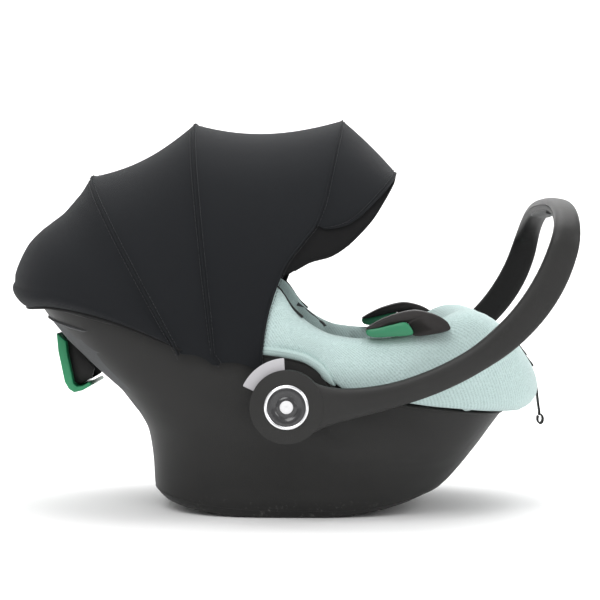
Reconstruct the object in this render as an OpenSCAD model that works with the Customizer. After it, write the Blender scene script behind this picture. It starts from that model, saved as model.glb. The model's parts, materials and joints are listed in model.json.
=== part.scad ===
// Infant car seat with a carry handle, a three-bow folding canopy and a three-point harness.
// Millimetres. +X points to the child's feet, +Z up, and the child's right side is -Y.
// Shapes are drawn with x measured from the handle's hinge axis, then the whole seat is
// moved so that the middle of its length is the origin.

/* [Shell] */
// Half width of the shell and of the padded cover at the rim
rim_half_w = 187; // [175:1:200]
// Half width of the rocker at the floor
rocker_half_w = 140; // [120:1:150]
// Wall of the moulded shell
shell_wall = 3; // [2:0.5:4]
// Inward flange that stiffens the rocker's lower edge
rocker_flange = 25; // [15:1:35]
// Radius of the rocker as seen from the side
rocker_radius = 540; // [500:10:800]
// Half length of the flat that the rocker stands on
rocker_flat = 30; // [25:1:45]
// Where the rocker's flat is centred, ahead of the handle's hinge
rocker_mid = 0; // [-10:1:15]

/* [Handle] */
// Height of the handle's hinge above the floor
hub_z = 140; // [135:1:160]
// Radius of the round hub at each end of the handle
hub_r = 42.5; // [38:0.5:46]
// Thickness of the handle's arms and hubs, across the seat
arm_thick = 20; // [16:1:26]
// Reach of the handle's cross bar ahead of its hinge
bar_reach = 338; // [325:1:370]
// Height of the handle's cross bar above its hinge, in the forward position
bar_rise = 235; // [225:1:260]
// Length of the soft grip on the cross bar
grip_len = 195; // [120:5:220]
// Radius of the steel pin that each hub turns on
pin_r = 6; // [4:0.5:7]
// Radial play of each turning fit
turn_play = 0.05; // [0.03:0.01:0.08]

/* [Canopy] */
// Height of the front bow's arch above the hinge axis
front_bow_r = 349; // [335:1:352]
// How much further out each bow behind it lies
bow_step_r = 10; // [8:1:12]
// Angle of the front bow when the canopy is open, from the front
front_bow_angle = 79.2; // [72:0.2:84]
// Angle of the middle bow when the canopy is open
mid_bow_angle = 109.3; // [100:0.1:112]
// Angle of the rear bow, which stays fixed
rear_bow_angle = 132.1; // [128:0.1:136]
// Angle of the lower hem of the fixed rear cover
hem_angle = 159; // [156:0.5:162]
// How far the hem bulges outside the rear bow
hem_bulge = 13; // [5:1:14]
// Angle that the brim reaches ahead of the front bow
brim_sweep = 14.4; // [8:0.2:20]
// Width of the flat plastic bows
bow_w = 10; // [7:1:14]
// Thickness of the flat plastic bows
bow_t = 1.8; // [1.2:0.1:2]
// Thickness of the canopy's fabric
fabric_t = 1.2; // [0.8:0.1:1.4]

/* [Padding] */
// Thickness of the padded seat cover
cover_t = 7; // [5:0.5:9]
// How far the cover's front overhangs the shell
lip_reach = 60; // [40:1:70]
// Thickness of the newborn insert
insert_t = 16; // [10:1:20]

/* [Harness] */
// Width of the harness webbing
web_w = 26; // [20:1:38]
// Thickness of the harness webbing
web_t = 1.6; // [1.2:0.1:2]
// Length of the buckle
buckle_len = 52; // [44:1:60]
// Travel of the red buckle button
button_travel = 4; // [2:0.5:5]

/* [Hidden] */

LEFT = 1;
RIGHT = -1;
air = 0.3;        // clear gap between pieces that only lie close together
skin_gap = 1;     // gap between the shell, the liner and the cover
shell_gap = 2.5;  // gap between the padded cover and the canopy's innermost bow
ring_points = 56;
plan_power = 2 / 3;    // superellipse power of the seat's plan
arch_power = 2 / 3.2;  // superellipse power of the canopy's bows

// ---------- small tools ----------

function mix(a, b, t) = a + (b - a) * t;
function soft_power(c, p) = sign(c) * pow(abs(c), p);
function in_plane(r, angle, y) = [r * cos(angle), y, hub_z + r * sin(angle)];

// Faces between ring i and the next one; rings run the same way round.
function band(i, next, n) = [for (j = [0 : n - 1]) let (k = (j + 1) % n)
    each [[i * n + j, next * n + j, next * n + k], [i * n + j, next * n + k, i * n + k]]];

function centre_of(ring) = [for (c = [0 : 2]) let (v = [for (p = ring) p[c]]) (max(v) + min(v)) / 2];

// A closed solid from stacked rings, with a fan of triangles over each end.
module stacked(rings) {
    n = len(rings[0]);
    last = len(rings) - 1;
    points = [for (r = rings) each r, centre_of(rings[0]), centre_of(rings[last])];
    low = (last + 1) * n;
    polyhedron(points = points, faces = [
        for (i = [0 : last - 1]) each band(i, i + 1, n),
        for (j = [0 : n - 1]) [low, j, (j + 1) % n],
        for (j = [0 : n - 1]) [low + 1, last * n + (j + 1) % n, last * n + j]]);
}

// A closed tub wall from rings whose last one joins the first.
module ring_loop(rings) {
    n = len(rings[0]);
    last = len(rings) - 1;
    polyhedron(points = [for (r = rings) each r],
        faces = [for (i = [0 : last]) each band(i, (i + 1) % (last + 1), n)]);
}

// A sheet with a thickness: two grids of points, the upper one and the under one.
module sheet(upper, under) {
    m = len(upper[0]);
    rings = [for (i = [0 : len(upper) - 1])
        [for (p = upper[i]) p, for (j = [m - 1 : -1 : 0]) under[i][j]]];
    n = 2 * m;
    last = len(rings) - 1;
    polyhedron(points = [for (r = rings) each r], faces = [
        for (i = [0 : last - 1]) each band(i, i + 1, n),
        for (j = [0 : m - 2]) each [[j, j + 1, n - 2 - j], [j, n - 2 - j, n - 1 - j]],
        for (j = [0 : m - 2]) each [
            [last * n + j, last * n + n - 2 - j, last * n + j + 1],
            [last * n + j, last * n + n - 1 - j, last * n + n - 2 - j]]]);
}

// Moves what is drawn round the hinge to the seat's own origin.
bulge_angle = 155.5;  // where the canopy reaches furthest back, seen from the hinge
hem_r = front_bow_r + 2 * bow_step_r + hem_bulge;
back_reach = hem_r * cos(180 - bulge_angle);
front_reach = bar_reach + 17;
hub_x = (back_reach - front_reach) / 2;
module place() { translate([hub_x, 0, 0]) children(); }
module on_side(side) { if (side == LEFT) children(); else mirror([0, 1, 0]) children(); }
// A cylinder across the seat on the left side, from y = from to y = to.
module across(r, from, to, x = 0, z = hub_z) {
    translate([x, from, z]) rotate([-90, 0, 0]) cylinder(r = r, h = to - from, $fn = 64);
}

// ---------- lines along the seat, as heights over x ----------

// Rocker: a flat, then an arc to each side.
function rocker_rise(x) = let (d = max(0, abs(x - rocker_mid) - rocker_flat))
    d * d / (2 * rocker_radius);
// Upper edge of the plastic shell: high at the head and round the hub, low at the feet
rim_line = [[-320, 255], [-250, 238], [-120, 214], [-45, 200], [0, 196], [40, 180], [80, 156],
    [120, 142], [250, 124], [310, 118]];
// Crest of the padded cover
crest_line = [[-320, 275], [-300, 281], [-250, 300], [-190, 306], [-100, 301], [-45, 289], [-13, 277],
    [8, 249], [30, 231], [58, 218], [110, 213], [165, 221], [228, 238], [260, 223], [290, 194], [312, 164]];
// Surface that the child lies on
seat_line = [[-250, 222], [-180, 160], [-100, 114], [-20, 92], [60, 92], [125, 118], [185, 172],
    [230, 222]];

function plan_ring(back, front, half) = [for (i = [0 : ring_points - 1])
    let (a = 360 * i / ring_points)
    [mix(back, front, 0.5) + (front - back) / 2 * soft_power(cos(a), plan_power),
        half * soft_power(sin(a), plan_power)]];

// ---------- shell ----------

// Back and front reach over the share of the way up from the base to the rim
shell_back = [[0, -157], [0.05, -170], [0.2, -174], [0.38, -179], [0.42, -183], [0.6, -218], [0.69, -247],
    [0.82, -284], [0.92, -304], [1, -313]];
shell_front = [[0, 156], [0.05, 180], [0.15, 195], [0.385, 216], [0.72, 242], [1, 258]];
shell_steps = [0, 0.05, 0.15, 0.33, 0.42, 0.5, 0.6, 0.7, 0.82, 0.92, 1];
function shell_half(t) = lookup(t, [[0, rocker_half_w], [0.15, mix(rocker_half_w, rim_half_w, 0.3)],
    [0.33, mix(rocker_half_w, rim_half_w, 0.62)], [0.5, rim_half_w - 3], [0.6, rim_half_w],
    [1, rim_half_w]]);
function shell_ring(t, inset, lift = 0) = [for (p = plan_ring(lookup(t, shell_back) + inset,
    lookup(t, shell_front) - inset, shell_half(t) - inset))
    [p.x, p.y, mix(rocker_rise(p.x), lookup(p.x, rim_line), t) + lift]];

module outer_shell() {
    color("#363635") place() difference() {
        ring_loop([
            for (t = shell_steps) shell_ring(t, 0),
            for (i = [len(shell_steps) - 1 : -1 : 1]) shell_ring(shell_steps[i], shell_wall),
            shell_ring(0, shell_wall, shell_wall),
            shell_ring(0, rocker_flange, shell_wall),
            shell_ring(0, rocker_flange, 0)]);
        for (side = [LEFT, RIGHT]) on_side(side)
            across(pin_r + air, rim_half_w - 12, rim_half_w + 5);
    }
}

// Four screws that hold the liner down, with their heads under the seat.
screw_r = 4;
screw_head_r = 7;
module shell_screws() {
    color("silver") place() for (x = [-60, 70], y = [-60, 60])
        translate([x, y, lookup(x, seat_line) - cover_t - skin_gap - liner_t - 7]) {
            cylinder(r = screw_head_r, h = 4, $fn = 32);
            cylinder(r = screw_r / 2, h = 5, $fn = 32);
        }
}

// Two steel bars under the seat that a base or a pushchair adapter latches on to.
base_bar_r = 4;
base_bar_x = [-95, 105];
base_bar_z = 34;
module base_bars() {
    color("silver") place() for (x = base_bar_x) {
        half = rocker_half_w - 10;
        across(base_bar_r, -half, half, x, base_bar_z);
    }
}

// ---------- padding ----------

liner_t = 14;
lip_x = 249 + lip_reach;
// Rows of the cover's outer face from the rim, over the crest and down to the seat:
// [back x, front x, half width, share of the way from the rim to the crest, extra height]
cover_edge = rim_half_w;
rim_clear = 2.6;  // height of the cover's lower edge over the shell's rim
cover_outer = [
    [-306, lip_x - 40, cover_edge - 1, 0, rim_clear],
    [-308, lip_x - 12, cover_edge, 0, rim_clear + 1],
    [-308, lip_x, cover_edge, 0.45, 0],
    [-302, lip_x - 6, cover_edge - 4, 0.85, 0],
    [-286, lip_x - 34, cover_edge - 15, 1, 0]];
cover_inner = [
    [-272, 236, cover_edge - 32, 0.9, 0],
    [-246, 212, cover_edge - 50, 0.45, 0],
    [-215, 185, 100, 0, 0],
    [-150, 125, 66, 0, 0],
    [-80, 60, 33, 0, 0],
    [-26, 10, 4, 0, 0]];
function cover_ring(row, low, inset, drop) = let (base = plan_ring(row[0], row[1], row[2]),
    moved = plan_ring(row[0] + inset, row[1] - inset, row[2] - inset))
    [for (i = [0 : ring_points - 1]) let (x = base[i].x)
        [moved[i].x, moved[i].y, mix(lookup(x, low), lookup(x, crest_line), row[3]) + row[4] - drop]];

module seat_cover() {
    color("#bcd6d2") place() stacked([
        for (i = [len(cover_inner) - 1 : -1 : 0])
            cover_ring(cover_inner[i], seat_line, -0.6 * cover_t, cover_t),
        for (i = [len(cover_outer) - 1 : -1 : 0])
            cover_ring(cover_outer[i], rim_line, cover_t,
                i > 2 ? cover_t : i == 1 ? -0.7 * cover_t : 0),
        for (row = cover_outer) cover_ring(row, rim_line, 0, 0),
        for (row = cover_inner) cover_ring(row, seat_line, 0, 0)]);
}

module foam_liner() {
    under = cover_t + skin_gap;
    tuck = shell_wall + skin_gap;
    color("#55585a") place() difference() {
        stacked([
            for (i = [5, 4, 3, 2]) cover_ring(cover_inner[i], seat_line, -cover_t, under + liner_t),
            for (t = [0.5, 0.6, 0.7, 0.82, 0.92]) shell_ring(t, tuck, 0),
            shell_ring(0.97, tuck + 1, 0),
            shell_ring(1, tuck + cover_t, -0.5),
            cover_ring(cover_outer[1], rim_line, under + 6, -under),
            cover_ring(cover_outer[2], rim_line, under + 1, 0),
            cover_ring(cover_outer[3], rim_line, under + 2, under),
            cover_ring(cover_outer[4], rim_line, under + 2, under + 1),
            for (row = cover_inner) cover_ring(row, seat_line, -0.6 * under, under + 1)]);
        for (side = [LEFT, RIGHT]) on_side(side) across(pin_head_r + 2, rim_half_w - 14, rim_half_w);
    }
}

function insert_ring(inset, lift) = [for (p = plan_ring(-88 + inset, 108 - inset, 92 - inset))
    [p.x, p.y, lookup(p.x, seat_line) + lift]];
module newborn_insert() {
    color("#c7dedb") place() stacked([for (s = [[60, 4], [30, 4], [6, 4.5], [0, 4 + insert_t / 2],
        [6, 3 + insert_t], [30, 4 + insert_t], [60, 4 + insert_t]]) insert_ring(s[0], s[1])]);
}

head_mid = [-142, 0, 172];
head_tilt = 33;
head_r = 58;
module head_insert() {
    color("#c7dedb") place() translate(head_mid) rotate([0, head_tilt, 0]) rotate([0, 0, 52])
        rotate_extrude(angle = 256, $fn = 72)
            translate([head_r, 0]) scale([1, 1.25]) circle(r = 16, $fn = 40);
}

// Black edge trims where the cover clips on to the rim beside the canopy.
strip_len = 34;
strip_from = -12;
strip_lift = 9;  // height over the cover's crest
module rim_strip(side) {
    span = [strip_from, strip_from + strip_len / 2, strip_from + strip_len];
    color("#1d1d1d") place() on_side(side) translate([0, rim_half_w - 13, 0]) rotate([90, 0, 0])
        linear_extrude(3) polygon([for (x = span) [x, lookup(x, crest_line) + strip_lift],
            for (i = [2, 1, 0]) [span[i], lookup(span[i], crest_line) + strip_lift + 2.4]]);
}
module rim_strip_left() { rim_strip(LEFT); }
module rim_strip_right() { rim_strip(RIGHT); }

tag_w = 14;
module cover_tag() {
    color("white") place() translate([229, -18, lookup(229, crest_line) + 1.2])
        cube([tag_w, 1.2 * tag_w, 1.2], center = true);
}

// ---------- handle ----------

// Layers across the seat, from the cover outwards: bows and fabric, then the handle.
bow_y = rim_half_w + shell_gap;
fabric_gap = 0.8;  // between each bow and the fabric over it
layer_y = bow_t + fabric_gap + fabric_t + air;
arm_in = bow_y + 3 * layer_y + 1.5;
arm_y = arm_in + arm_thick / 2;
arm_out = arm_in + arm_thick;

// Side view of an arm: a cubic curve from the hub to the cross bar.
arm_p1 = [138, -6];
arm_p2 = [bar_reach - 18, bar_rise - 172];
arm_p3 = [bar_reach - 6, bar_rise];
function arm_at(s) = 3 * pow(1 - s, 2) * s * arm_p1 + 3 * (1 - s) * s * s * arm_p2 + s * s * s * arm_p3;
function arm_way(s) = let (d = arm_at(s + 0.005) - arm_at(s - 0.005)) d / norm(d);
corner_s = 0.84;      // where the arm starts to turn in towards the cross bar
corner_power = 0.75;
arm_steps = [0.06, 0.12, 0.2, 0.28, 0.36, 0.44, 0.52, 0.6, 0.68, 0.76, corner_s];
corner_steps = [for (a = [10 : 10 : 90]) a];
// [share of the side curve, y] for one half, from the right hub to the middle of the bar
half_route = [for (s = arm_steps) [s, -arm_y],
    for (a = corner_steps)
        [mix(corner_s, 1, pow(sin(a), corner_power)), -arm_y * pow(max(0, cos(a)), corner_power)]];
route = [for (r = half_route) r,
    for (i = [len(half_route) - 2 : -1 : 0]) [half_route[i][0], -half_route[i][1]]];
function route_point(i) = let (q = arm_at(route[i][0])) [q.x, route[i][1], hub_z + q.y];
function route_way(i) = let (a = max(0, i - 1), b = min(len(route) - 1, i + 1),
    d = route_point(b) - route_point(a)) d / norm(d);
function arm_height(s) = lookup(s, [[0, 42], [0.1, 38], [0.25, 30], [0.5, 29], [0.62, 33], [0.78, 36],
    [0.88, 34], [1, 29]]);
// A slice of the bow's section at one route point, between two depths through its thickness
function bow_ring(i, from, to, angles) = let (
    s = route[i][0], t = arm_way(s), out = [t.y, 0, -t.x], deep = cross(route_way(i), out),
    mid = route_point(i))
    [for (a = angles) mid + out * arm_height(s) / 2 * soft_power(cos(a), 0.7)
        + deep * mix(from, to, pow(abs(sin(a)), 0.7))];

half_gap = 0.4;  // half the seam between the handle's two mouldings
module bow_half(from, to) {
    stacked([for (i = [0 : len(route) - 1]) bow_ring(i, from, to,
        from < to ? [0 : 20 : 180] : [180 : -20 : 0])]);
}
module handle_outer_shell() {
    color("#3c3c3a") place() difference() {
        bow_half(-half_gap, -arm_thick / 2);
        hub_clearance();
    }
}
module handle_inner_shell() {
    color("#343432") place() difference() {
        bow_half(half_gap, arm_thick / 2);
        hub_clearance();
    }
}
module hub_clearance() {
    for (side = [LEFT, RIGHT]) on_side(side) across(hub_r + 0.1, arm_in - 5, arm_out + 5);
}
grip_t = 3;
module handle_grip() {
    span = [for (i = [0 : len(route) - 1]) if (abs(route[i][1]) <= grip_len / 2) i];
    lift = 0.1;
    color("#2a2a2a") place() stacked([for (i = span) [
        each bow_ring(i, grip_t, arm_thick / 2 + grip_t, [40 : 20 : 140]),
        each bow_ring(i, half_gap + lift, arm_thick / 2 + lift, [140 : -20 : 40])]]);
}

hub_wall = 4.5;
hub_face_t = 4;
lock_r = 22;
lock_in = arm_in + 1.5;
lock_t = 8;
button_half_angle = 31;
button_angle = 124;
button_in = arm_in + 4;
button_t = 6;
button_reach = 56;
press_travel = 5;
module handle_hub(side) {
    color("#40403e") place() on_side(side) difference() {
        across(hub_r, arm_in, arm_out);
        difference() {
            across(hub_r - hub_wall, arm_in - 1, arm_out - hub_face_t);
            across(pin_r + 5, arm_out - hub_face_t - 6, arm_out);
        }
        across(pin_r + turn_play, arm_in - 1, arm_out - 1.5);
        translate([0, 0, hub_z]) rotate([-90, 0, 0]) translate([0, 0, button_in - air])
            sector(hub_r + 5, hub_r - hub_wall - 3, button_t + 2 * air, button_half_angle + 6);
    }
}
// Part of a flat ring round the axis, centred on the release button's direction.
module sector(outer, inner, thick, half_angle) {
    rotate([0, 0, -button_angle - half_angle]) rotate_extrude(angle = 2 * half_angle, $fn = 72)
        translate([inner, 0]) square([outer - inner, thick]);
}
module handle_hub_left() { handle_hub(LEFT); }
module handle_hub_right() { handle_hub(RIGHT); }

module release_button(side) {
    color("#b9b8bc") place() on_side(side) translate([0, 0, hub_z]) rotate([-90, 0, 0])
        translate([0, 0, button_in])
            sector(button_reach, lock_r + press_travel + 2, button_t, button_half_angle);
}
module release_button_left() { release_button(LEFT); }
module release_button_right() { release_button(RIGHT); }

// Toothed locking disc of the shell that the handle's latch engages, inside each hub.
module lock_gear(side) {
    teeth = 12;
    color("#8a8a8a") place() on_side(side) difference() {
        union() {
            across(lock_r - 4, lock_in, lock_in + lock_t);
            for (i = [0 : teeth - 1]) translate([0, lock_in, hub_z]) rotate([-90, i * 360 / teeth, 0])
                translate([lock_r - 5, -2.5, 0]) cube([4.5, 5, lock_t]);
        }
        across(pin_r + 5.4, lock_in - 1, lock_in + lock_t + 1);
    }
}
module lock_gear_left() { lock_gear(LEFT); }
module lock_gear_right() { lock_gear(RIGHT); }

cap_t = 2;
ring_w = 4;
emblem_r = 26;
module hub_cap(side) {
    color("#1f1f21") place() on_side(side) across(emblem_r - ring_w - 0.1, arm_out + 0.05, arm_out + cap_t);
}
module hub_cap_left() { hub_cap(LEFT); }
module hub_cap_right() { hub_cap(RIGHT); }
module hub_ring(side) {
    color("#d5d5d8") place() on_side(side) difference() {
        across(emblem_r, arm_out + 0.05, arm_out + cap_t + 0.6);
        across(emblem_r - ring_w, arm_out - 1, arm_out + cap_t + 2);
    }
}
module hub_ring_left() { hub_ring(LEFT); }
module hub_ring_right() { hub_ring(RIGHT); }

// Sleeve on the shell that the canopy's bows turn on, with the pin's bore through it.
sleeve_r = 9;
mount_flange_r = 30;
module handle_mount(side) {
    color("#2c2c2c") place() on_side(side) difference() {
        union() {
            across(sleeve_r, rim_half_w + 0.1, arm_in - air);
            across(mount_flange_r, rim_half_w + 0.1, bow_y - air);
        }
        across(pin_r + turn_play, rim_half_w - 1, arm_in + 1);
    }
}
module handle_mount_left() { handle_mount(LEFT); }
module handle_mount_right() { handle_mount(RIGHT); }

pin_head_r = 11;
module pivot_pin(side) {
    inner = rim_half_w - shell_wall - 0.4;
    color("silver") place() on_side(side) {
        across(pin_r, inner - 1, arm_out - 2);
        across(pin_head_r, inner - 5, inner - 0.6);
    }
}
module pivot_pin_left() { pivot_pin(LEFT); }
module pivot_pin_right() { pivot_pin(RIGHT); }

// ---------- canopy ----------

arch_columns = 44;
// Lowest radius of the side fabric over the bow angle: its front edge runs back to the hub
side_edge = [[79, 214], [85, 189], [91, 162], [110, 82], [128, 46], [162, 46]];
function side_edge_at(angle) = lookup(angle - front_bow_angle + 79.2, side_edge);
function arch_row(r_top, half, r_low, angle, columns = arch_columns) = let (
    a0 = asin(pow(r_low / r_top, 1 / arch_power)))
    [for (j = [0 : columns]) let (a = mix(a0, 180 - a0, j / columns))
        in_plane(r_top * pow(sin(a), arch_power), angle, -half * soft_power(cos(a), arch_power))];

function layer_half(level) = bow_y + level * layer_y;
function layer_r(level) = front_bow_r + level * bow_step_r;
// Fabric of one layer: rows of [angle, extra radius, lowest radius]
module canopy_fabric(level, rows) {
    out = layer_half(level) + bow_t + fabric_gap + fabric_t;
    top = layer_r(level);
    sheet([for (r = rows) arch_row(top + r[1], out, r[2], r[0])],
        [for (r = rows) arch_row(top + r[1] - fabric_t, out - fabric_t, r[2], r[0])]);
}
function even_rows(from, to, steps) = [for (i = [0 : steps]) let (a = mix(from, to, i / steps))
    [a, 0, side_edge_at(a)]];
seam = 0.2;  // gap between neighbouring panels, in degrees

module canopy_front_panel() {
    color("#26282c") place() canopy_fabric(0, even_rows(front_bow_angle, mid_bow_angle - seam, 6));
}
module canopy_mid_panel() {
    color("#26282c") place() canopy_fabric(1, even_rows(mid_bow_angle, rear_bow_angle - seam, 4));
}
module canopy_rear_cover() {
    rise = bulge_angle - rear_bow_angle;
    color("#26282c") place() canopy_fabric(2, [
        for (i = [0 : 4]) let (a = rear_bow_angle + rise * i / 4)
            [a, hem_bulge * pow(i / 4, 2), side_edge_at(a)],
        [mix(bulge_angle, hem_angle, 0.6), hem_bulge - 12, 46],
        [hem_angle, hem_bulge - 36, 46]]);
}

// A flat bow: a ribbon under the fabric of its layer, with an eye round the sleeve.
// lean gives the ribbon's angle behind the bow's own angle, over the radius
module canopy_bow(level, angle, lean) {
    half = layer_half(level);
    top = layer_r(level) - fabric_t - fabric_gap;
    low = sleeve_r + 4;
    function ribbon(drop) = [for (side = [0, 1])
        let (base = arch_row(top - drop, half + bow_t - drop, low, 0, 44))
        [for (p = base) let (r = norm([p.x, p.z - hub_z]))
            in_plane(r, angle + lookup(r, lean) + side * bow_w / r * 180 / PI, p.y)]];
    sheet(ribbon(0), ribbon(bow_t));
    for (side = [LEFT, RIGHT]) on_side(side) difference() {
        across(sleeve_r + 7, half - 0.1, half + bow_t + 0.1);
        across(sleeve_r + turn_play, half - 1, half + bow_t + 1);
    }
}
module canopy_front_bow() {
    color("#1b1b1c") place() canopy_bow(0, front_bow_angle,
        [[12, 72], [46, 49], [82, 31], [162, 12], [189, 6], [220, 0.4]]);
}
module canopy_mid_bow() {
    color("#1b1b1c") place() canopy_bow(1, mid_bow_angle, [[12, 40], [46, 24], [82, 8], [140, 0.2]]);
}
module canopy_rear_bow() {
    color("#1b1b1c") place() canopy_bow(2, rear_bow_angle, [[12, 10], [46, 0.2]]);
}

// Brim: a stiff peak sewn to the front bow, deepest over the middle.
brim_low = 225;
brim_drop = 0.115;  // share of its radius that the peak's tip comes down
module canopy_brim() {
    out = layer_half(0) + bow_t + fabric_gap + fabric_t;
    steps = 5;
    function depth(p) = pow(max(0, cos(90 * abs(p.y) / out)), 0.6);
    function brim_row(share, drop) = [for (p = arch_row(front_bow_r - drop, out - drop, brim_low, 90, 28))
        let (g = share * depth(p))
        in_plane((p.z - hub_z) * (1 - brim_drop * g), front_bow_angle - 0.25 - brim_sweep * g, p.y)];
    color("#1e2023") place() sheet([for (i = [steps : -1 : 0]) brim_row(i / steps, 0)],
        [for (i = [steps : -1 : 0]) brim_row(i / steps, fabric_t + 0.8)]);
}

// ---------- belt guides ----------

hook_y = rim_half_w - 20;   // middle of each hook across the seat
hook_w = 30;
hook_outline = [[92, 226], [104, 234], [122, 242], [146, 248], [164, 246], [180, 240], [187, 233],
    [186, 226], [150, 219], [146, 228], [140, 235], [122, 232], [106, 228]];
module belt_hook(side) {
    color("#1c1c1c") place() on_side(side) translate([0, hook_y + hook_w / 2, 0]) rotate([90, 0, 0])
        linear_extrude(hook_w) polygon([for (p = hook_outline) p + [0, 2]]);
}
module belt_hook_left() { belt_hook(LEFT); }
module belt_hook_right() { belt_hook(RIGHT); }

pad_outline = [[94, 227.5], [106, 229.4], [122, 233.4], [139, 236.4], [145, 229], [147, 223], [139, 221.5],
    [128, 224], [108, 221], [96, 223]];
module hook_pad(side) {
    color("#35a064") place() on_side(side) translate([0, hook_y + hook_w / 2 + 2, 0]) rotate([90, 0, 0])
        linear_extrude(hook_w - 2) polygon(pad_outline);
}
module hook_pad_left() { hook_pad(LEFT); }
module hook_pad_right() { hook_pad(RIGHT); }

guide_w = 120;   // width of the shoulder belt's guide behind the seat
guide_outer = [[-293, 218], [-291, 195], [-283, 157], [-278, 148], [-271, 143.5], [-261, 146], [-249, 153]];
guide_inner = [[-252, 157], [-261, 151.5], [-268, 151], [-272, 155], [-274, 165], [-280, 194], [-281, 207]];
module rear_belt_guide() {
    color("#2d7d50") place() translate([0, guide_w / 2, 0]) rotate([90, 0, 0])
        linear_extrude(guide_w) polygon([for (p = guide_outer) p, for (p = guide_inner) p]);
}
// Two black cheeks that carry the guide from the shell and leave the belt's slot free below
cheek_t = 4;
cheek_outline = [[-274.4, 170], [-279.2, 194], [-280, 206.4], [-277.8, 206.8], [-262.6, 191.6],
    [-248, 172]];
module rear_guide_bracket() {
    color("#151515") place() for (side = [LEFT, RIGHT]) on_side(side)
        translate([0, guide_w / 2 - 16, 0]) rotate([90, 0, 0]) linear_extrude(cheek_t)
            polygon(cheek_outline);
}

// ---------- harness ----------

// Centre line of a shoulder strap: [x, y, height above the seat surface]
strap_route = [[-92, 44, 26], [-70, 43, 36], [-40, 40, 40], [-10, 33, 40], [10, 24, 38]];
function strap_edge(side_y, lift) = [for (p = strap_route)
    [p.x, p.y + side_y, lookup(p.x, seat_line) + p.z + lift]];
module ribbon(side_w, from, to, first = 0, last = len(strap_route) - 1) {
    columns = 4;
    function row(lift) = [for (j = [0 : columns])
        let (e = strap_edge(mix(-side_w / 2, side_w / 2, j / columns), lift))
        [for (i = [first : last]) e[i]]];
    sheet(row(to), row(from));
}
module shoulder_strap(side) { color("#2b2b2d") place() on_side(side) ribbon(web_w, 0, web_t); }
module shoulder_strap_left() { shoulder_strap(LEFT); }
module shoulder_strap_right() { shoulder_strap(RIGHT); }
pad_t = 9;
pad_w = 42;
module shoulder_pad(side) {
    color("#c7dedb") place() on_side(side) ribbon(pad_w, web_t + air, web_t + air + pad_t, 1, 3);
}
module shoulder_pad_left() { shoulder_pad(LEFT); }
module shoulder_pad_right() { shoulder_pad(RIGHT); }

buckle_x = 18;
buckle_w = 40;
buckle_h = 18;
buckle_z = lookup(buckle_x + buckle_len / 2, seat_line) + 40;
button_len = 26;
button_w = 24;
button_h = 9;
module buckle_body() {
    color("#2a2a2c") place() difference() {
        translate([buckle_x, -buckle_w / 2, buckle_z]) {
            translate([buckle_len / 2, buckle_w / 2, 0]) linear_extrude(buckle_h)
                offset(r = 8, $fn = 32) square([buckle_len - 16, buckle_w - 16], center = true);
        }
        translate([buckle_x + buckle_len - button_len - 8, -button_w / 2, buckle_z + buckle_h - button_h])
            cube([button_len, button_w, button_h + 1]);
        for (side = [-1, 1]) translate([buckle_x - 1, side * 10 - 6.5, buckle_z + 5]) cube([15, 13, 4]);
    }
}
module buckle_button() {
    color("#c2201c") place() translate([buckle_x + buckle_len - button_len - 8 + air, -button_w / 2 + air,
        buckle_z + buckle_h - button_h + button_travel + air])
        cube([button_len - 2 * air, button_w - 2 * air, button_h - button_travel + 1.5]);
}
module tongue(side) {
    color("#2e2e30") place() on_side(side) {
        translate([buckle_x - 2, 4, buckle_z + 5.5]) cube([15, 12, 3]);
        translate([buckle_x - 10, 4, buckle_z + 5.5]) cube([9.5, 24, 3]);
    }
}
module tongue_left() { tongue(LEFT); }
module tongue_right() { tongue(RIGHT); }

crotch_x = buckle_x + buckle_len + 0.4;
crotch_foot_x = 118;
module crotch_line(width, from, to) {
    translate([0, width / 2, 0]) rotate([90, 0, 0]) linear_extrude(width) polygon([
        [crotch_x, buckle_z + from], [crotch_foot_x - 12, buckle_z + from - 6],
        [crotch_foot_x, lookup(crotch_foot_x, seat_line) + 1.5],
        [crotch_foot_x + to - from, lookup(crotch_foot_x, seat_line) + 3.5],
        [crotch_foot_x - 8, buckle_z + to - 5], [crotch_x, buckle_z + to]]);
}
module crotch_strap() { color("#2b2b2d") place() crotch_line(web_w, 6, 6 + 1.2 * web_t); }
module crotch_pad() {
    color("#c7dedb") place() translate([0, pad_w / 2, 0]) rotate([90, 0, 0]) linear_extrude(pad_w) polygon([
        [crotch_x, buckle_z + 9], [crotch_foot_x - 10, buckle_z + 4.5], [crotch_foot_x - 12, buckle_z + 13],
        [crotch_x + 8, buckle_z + 17], [crotch_x, buckle_z + 15]]);
}

// Steel yoke behind the backrest that joins the shoulder straps to the adjuster's strap.
module splitter_plate() {
    color("silver") place() translate([-126, 0, 90]) rotate([0, 60, 0]) difference() {
        cube([26, 78, 2], center = true);
        for (y = [-24, 24]) translate([4, y, 0]) cube([5, web_w + 2, 5], center = true);
        translate([-6, 0, 0]) cube([5, web_w + 2, 5], center = true);
    }
}

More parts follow.
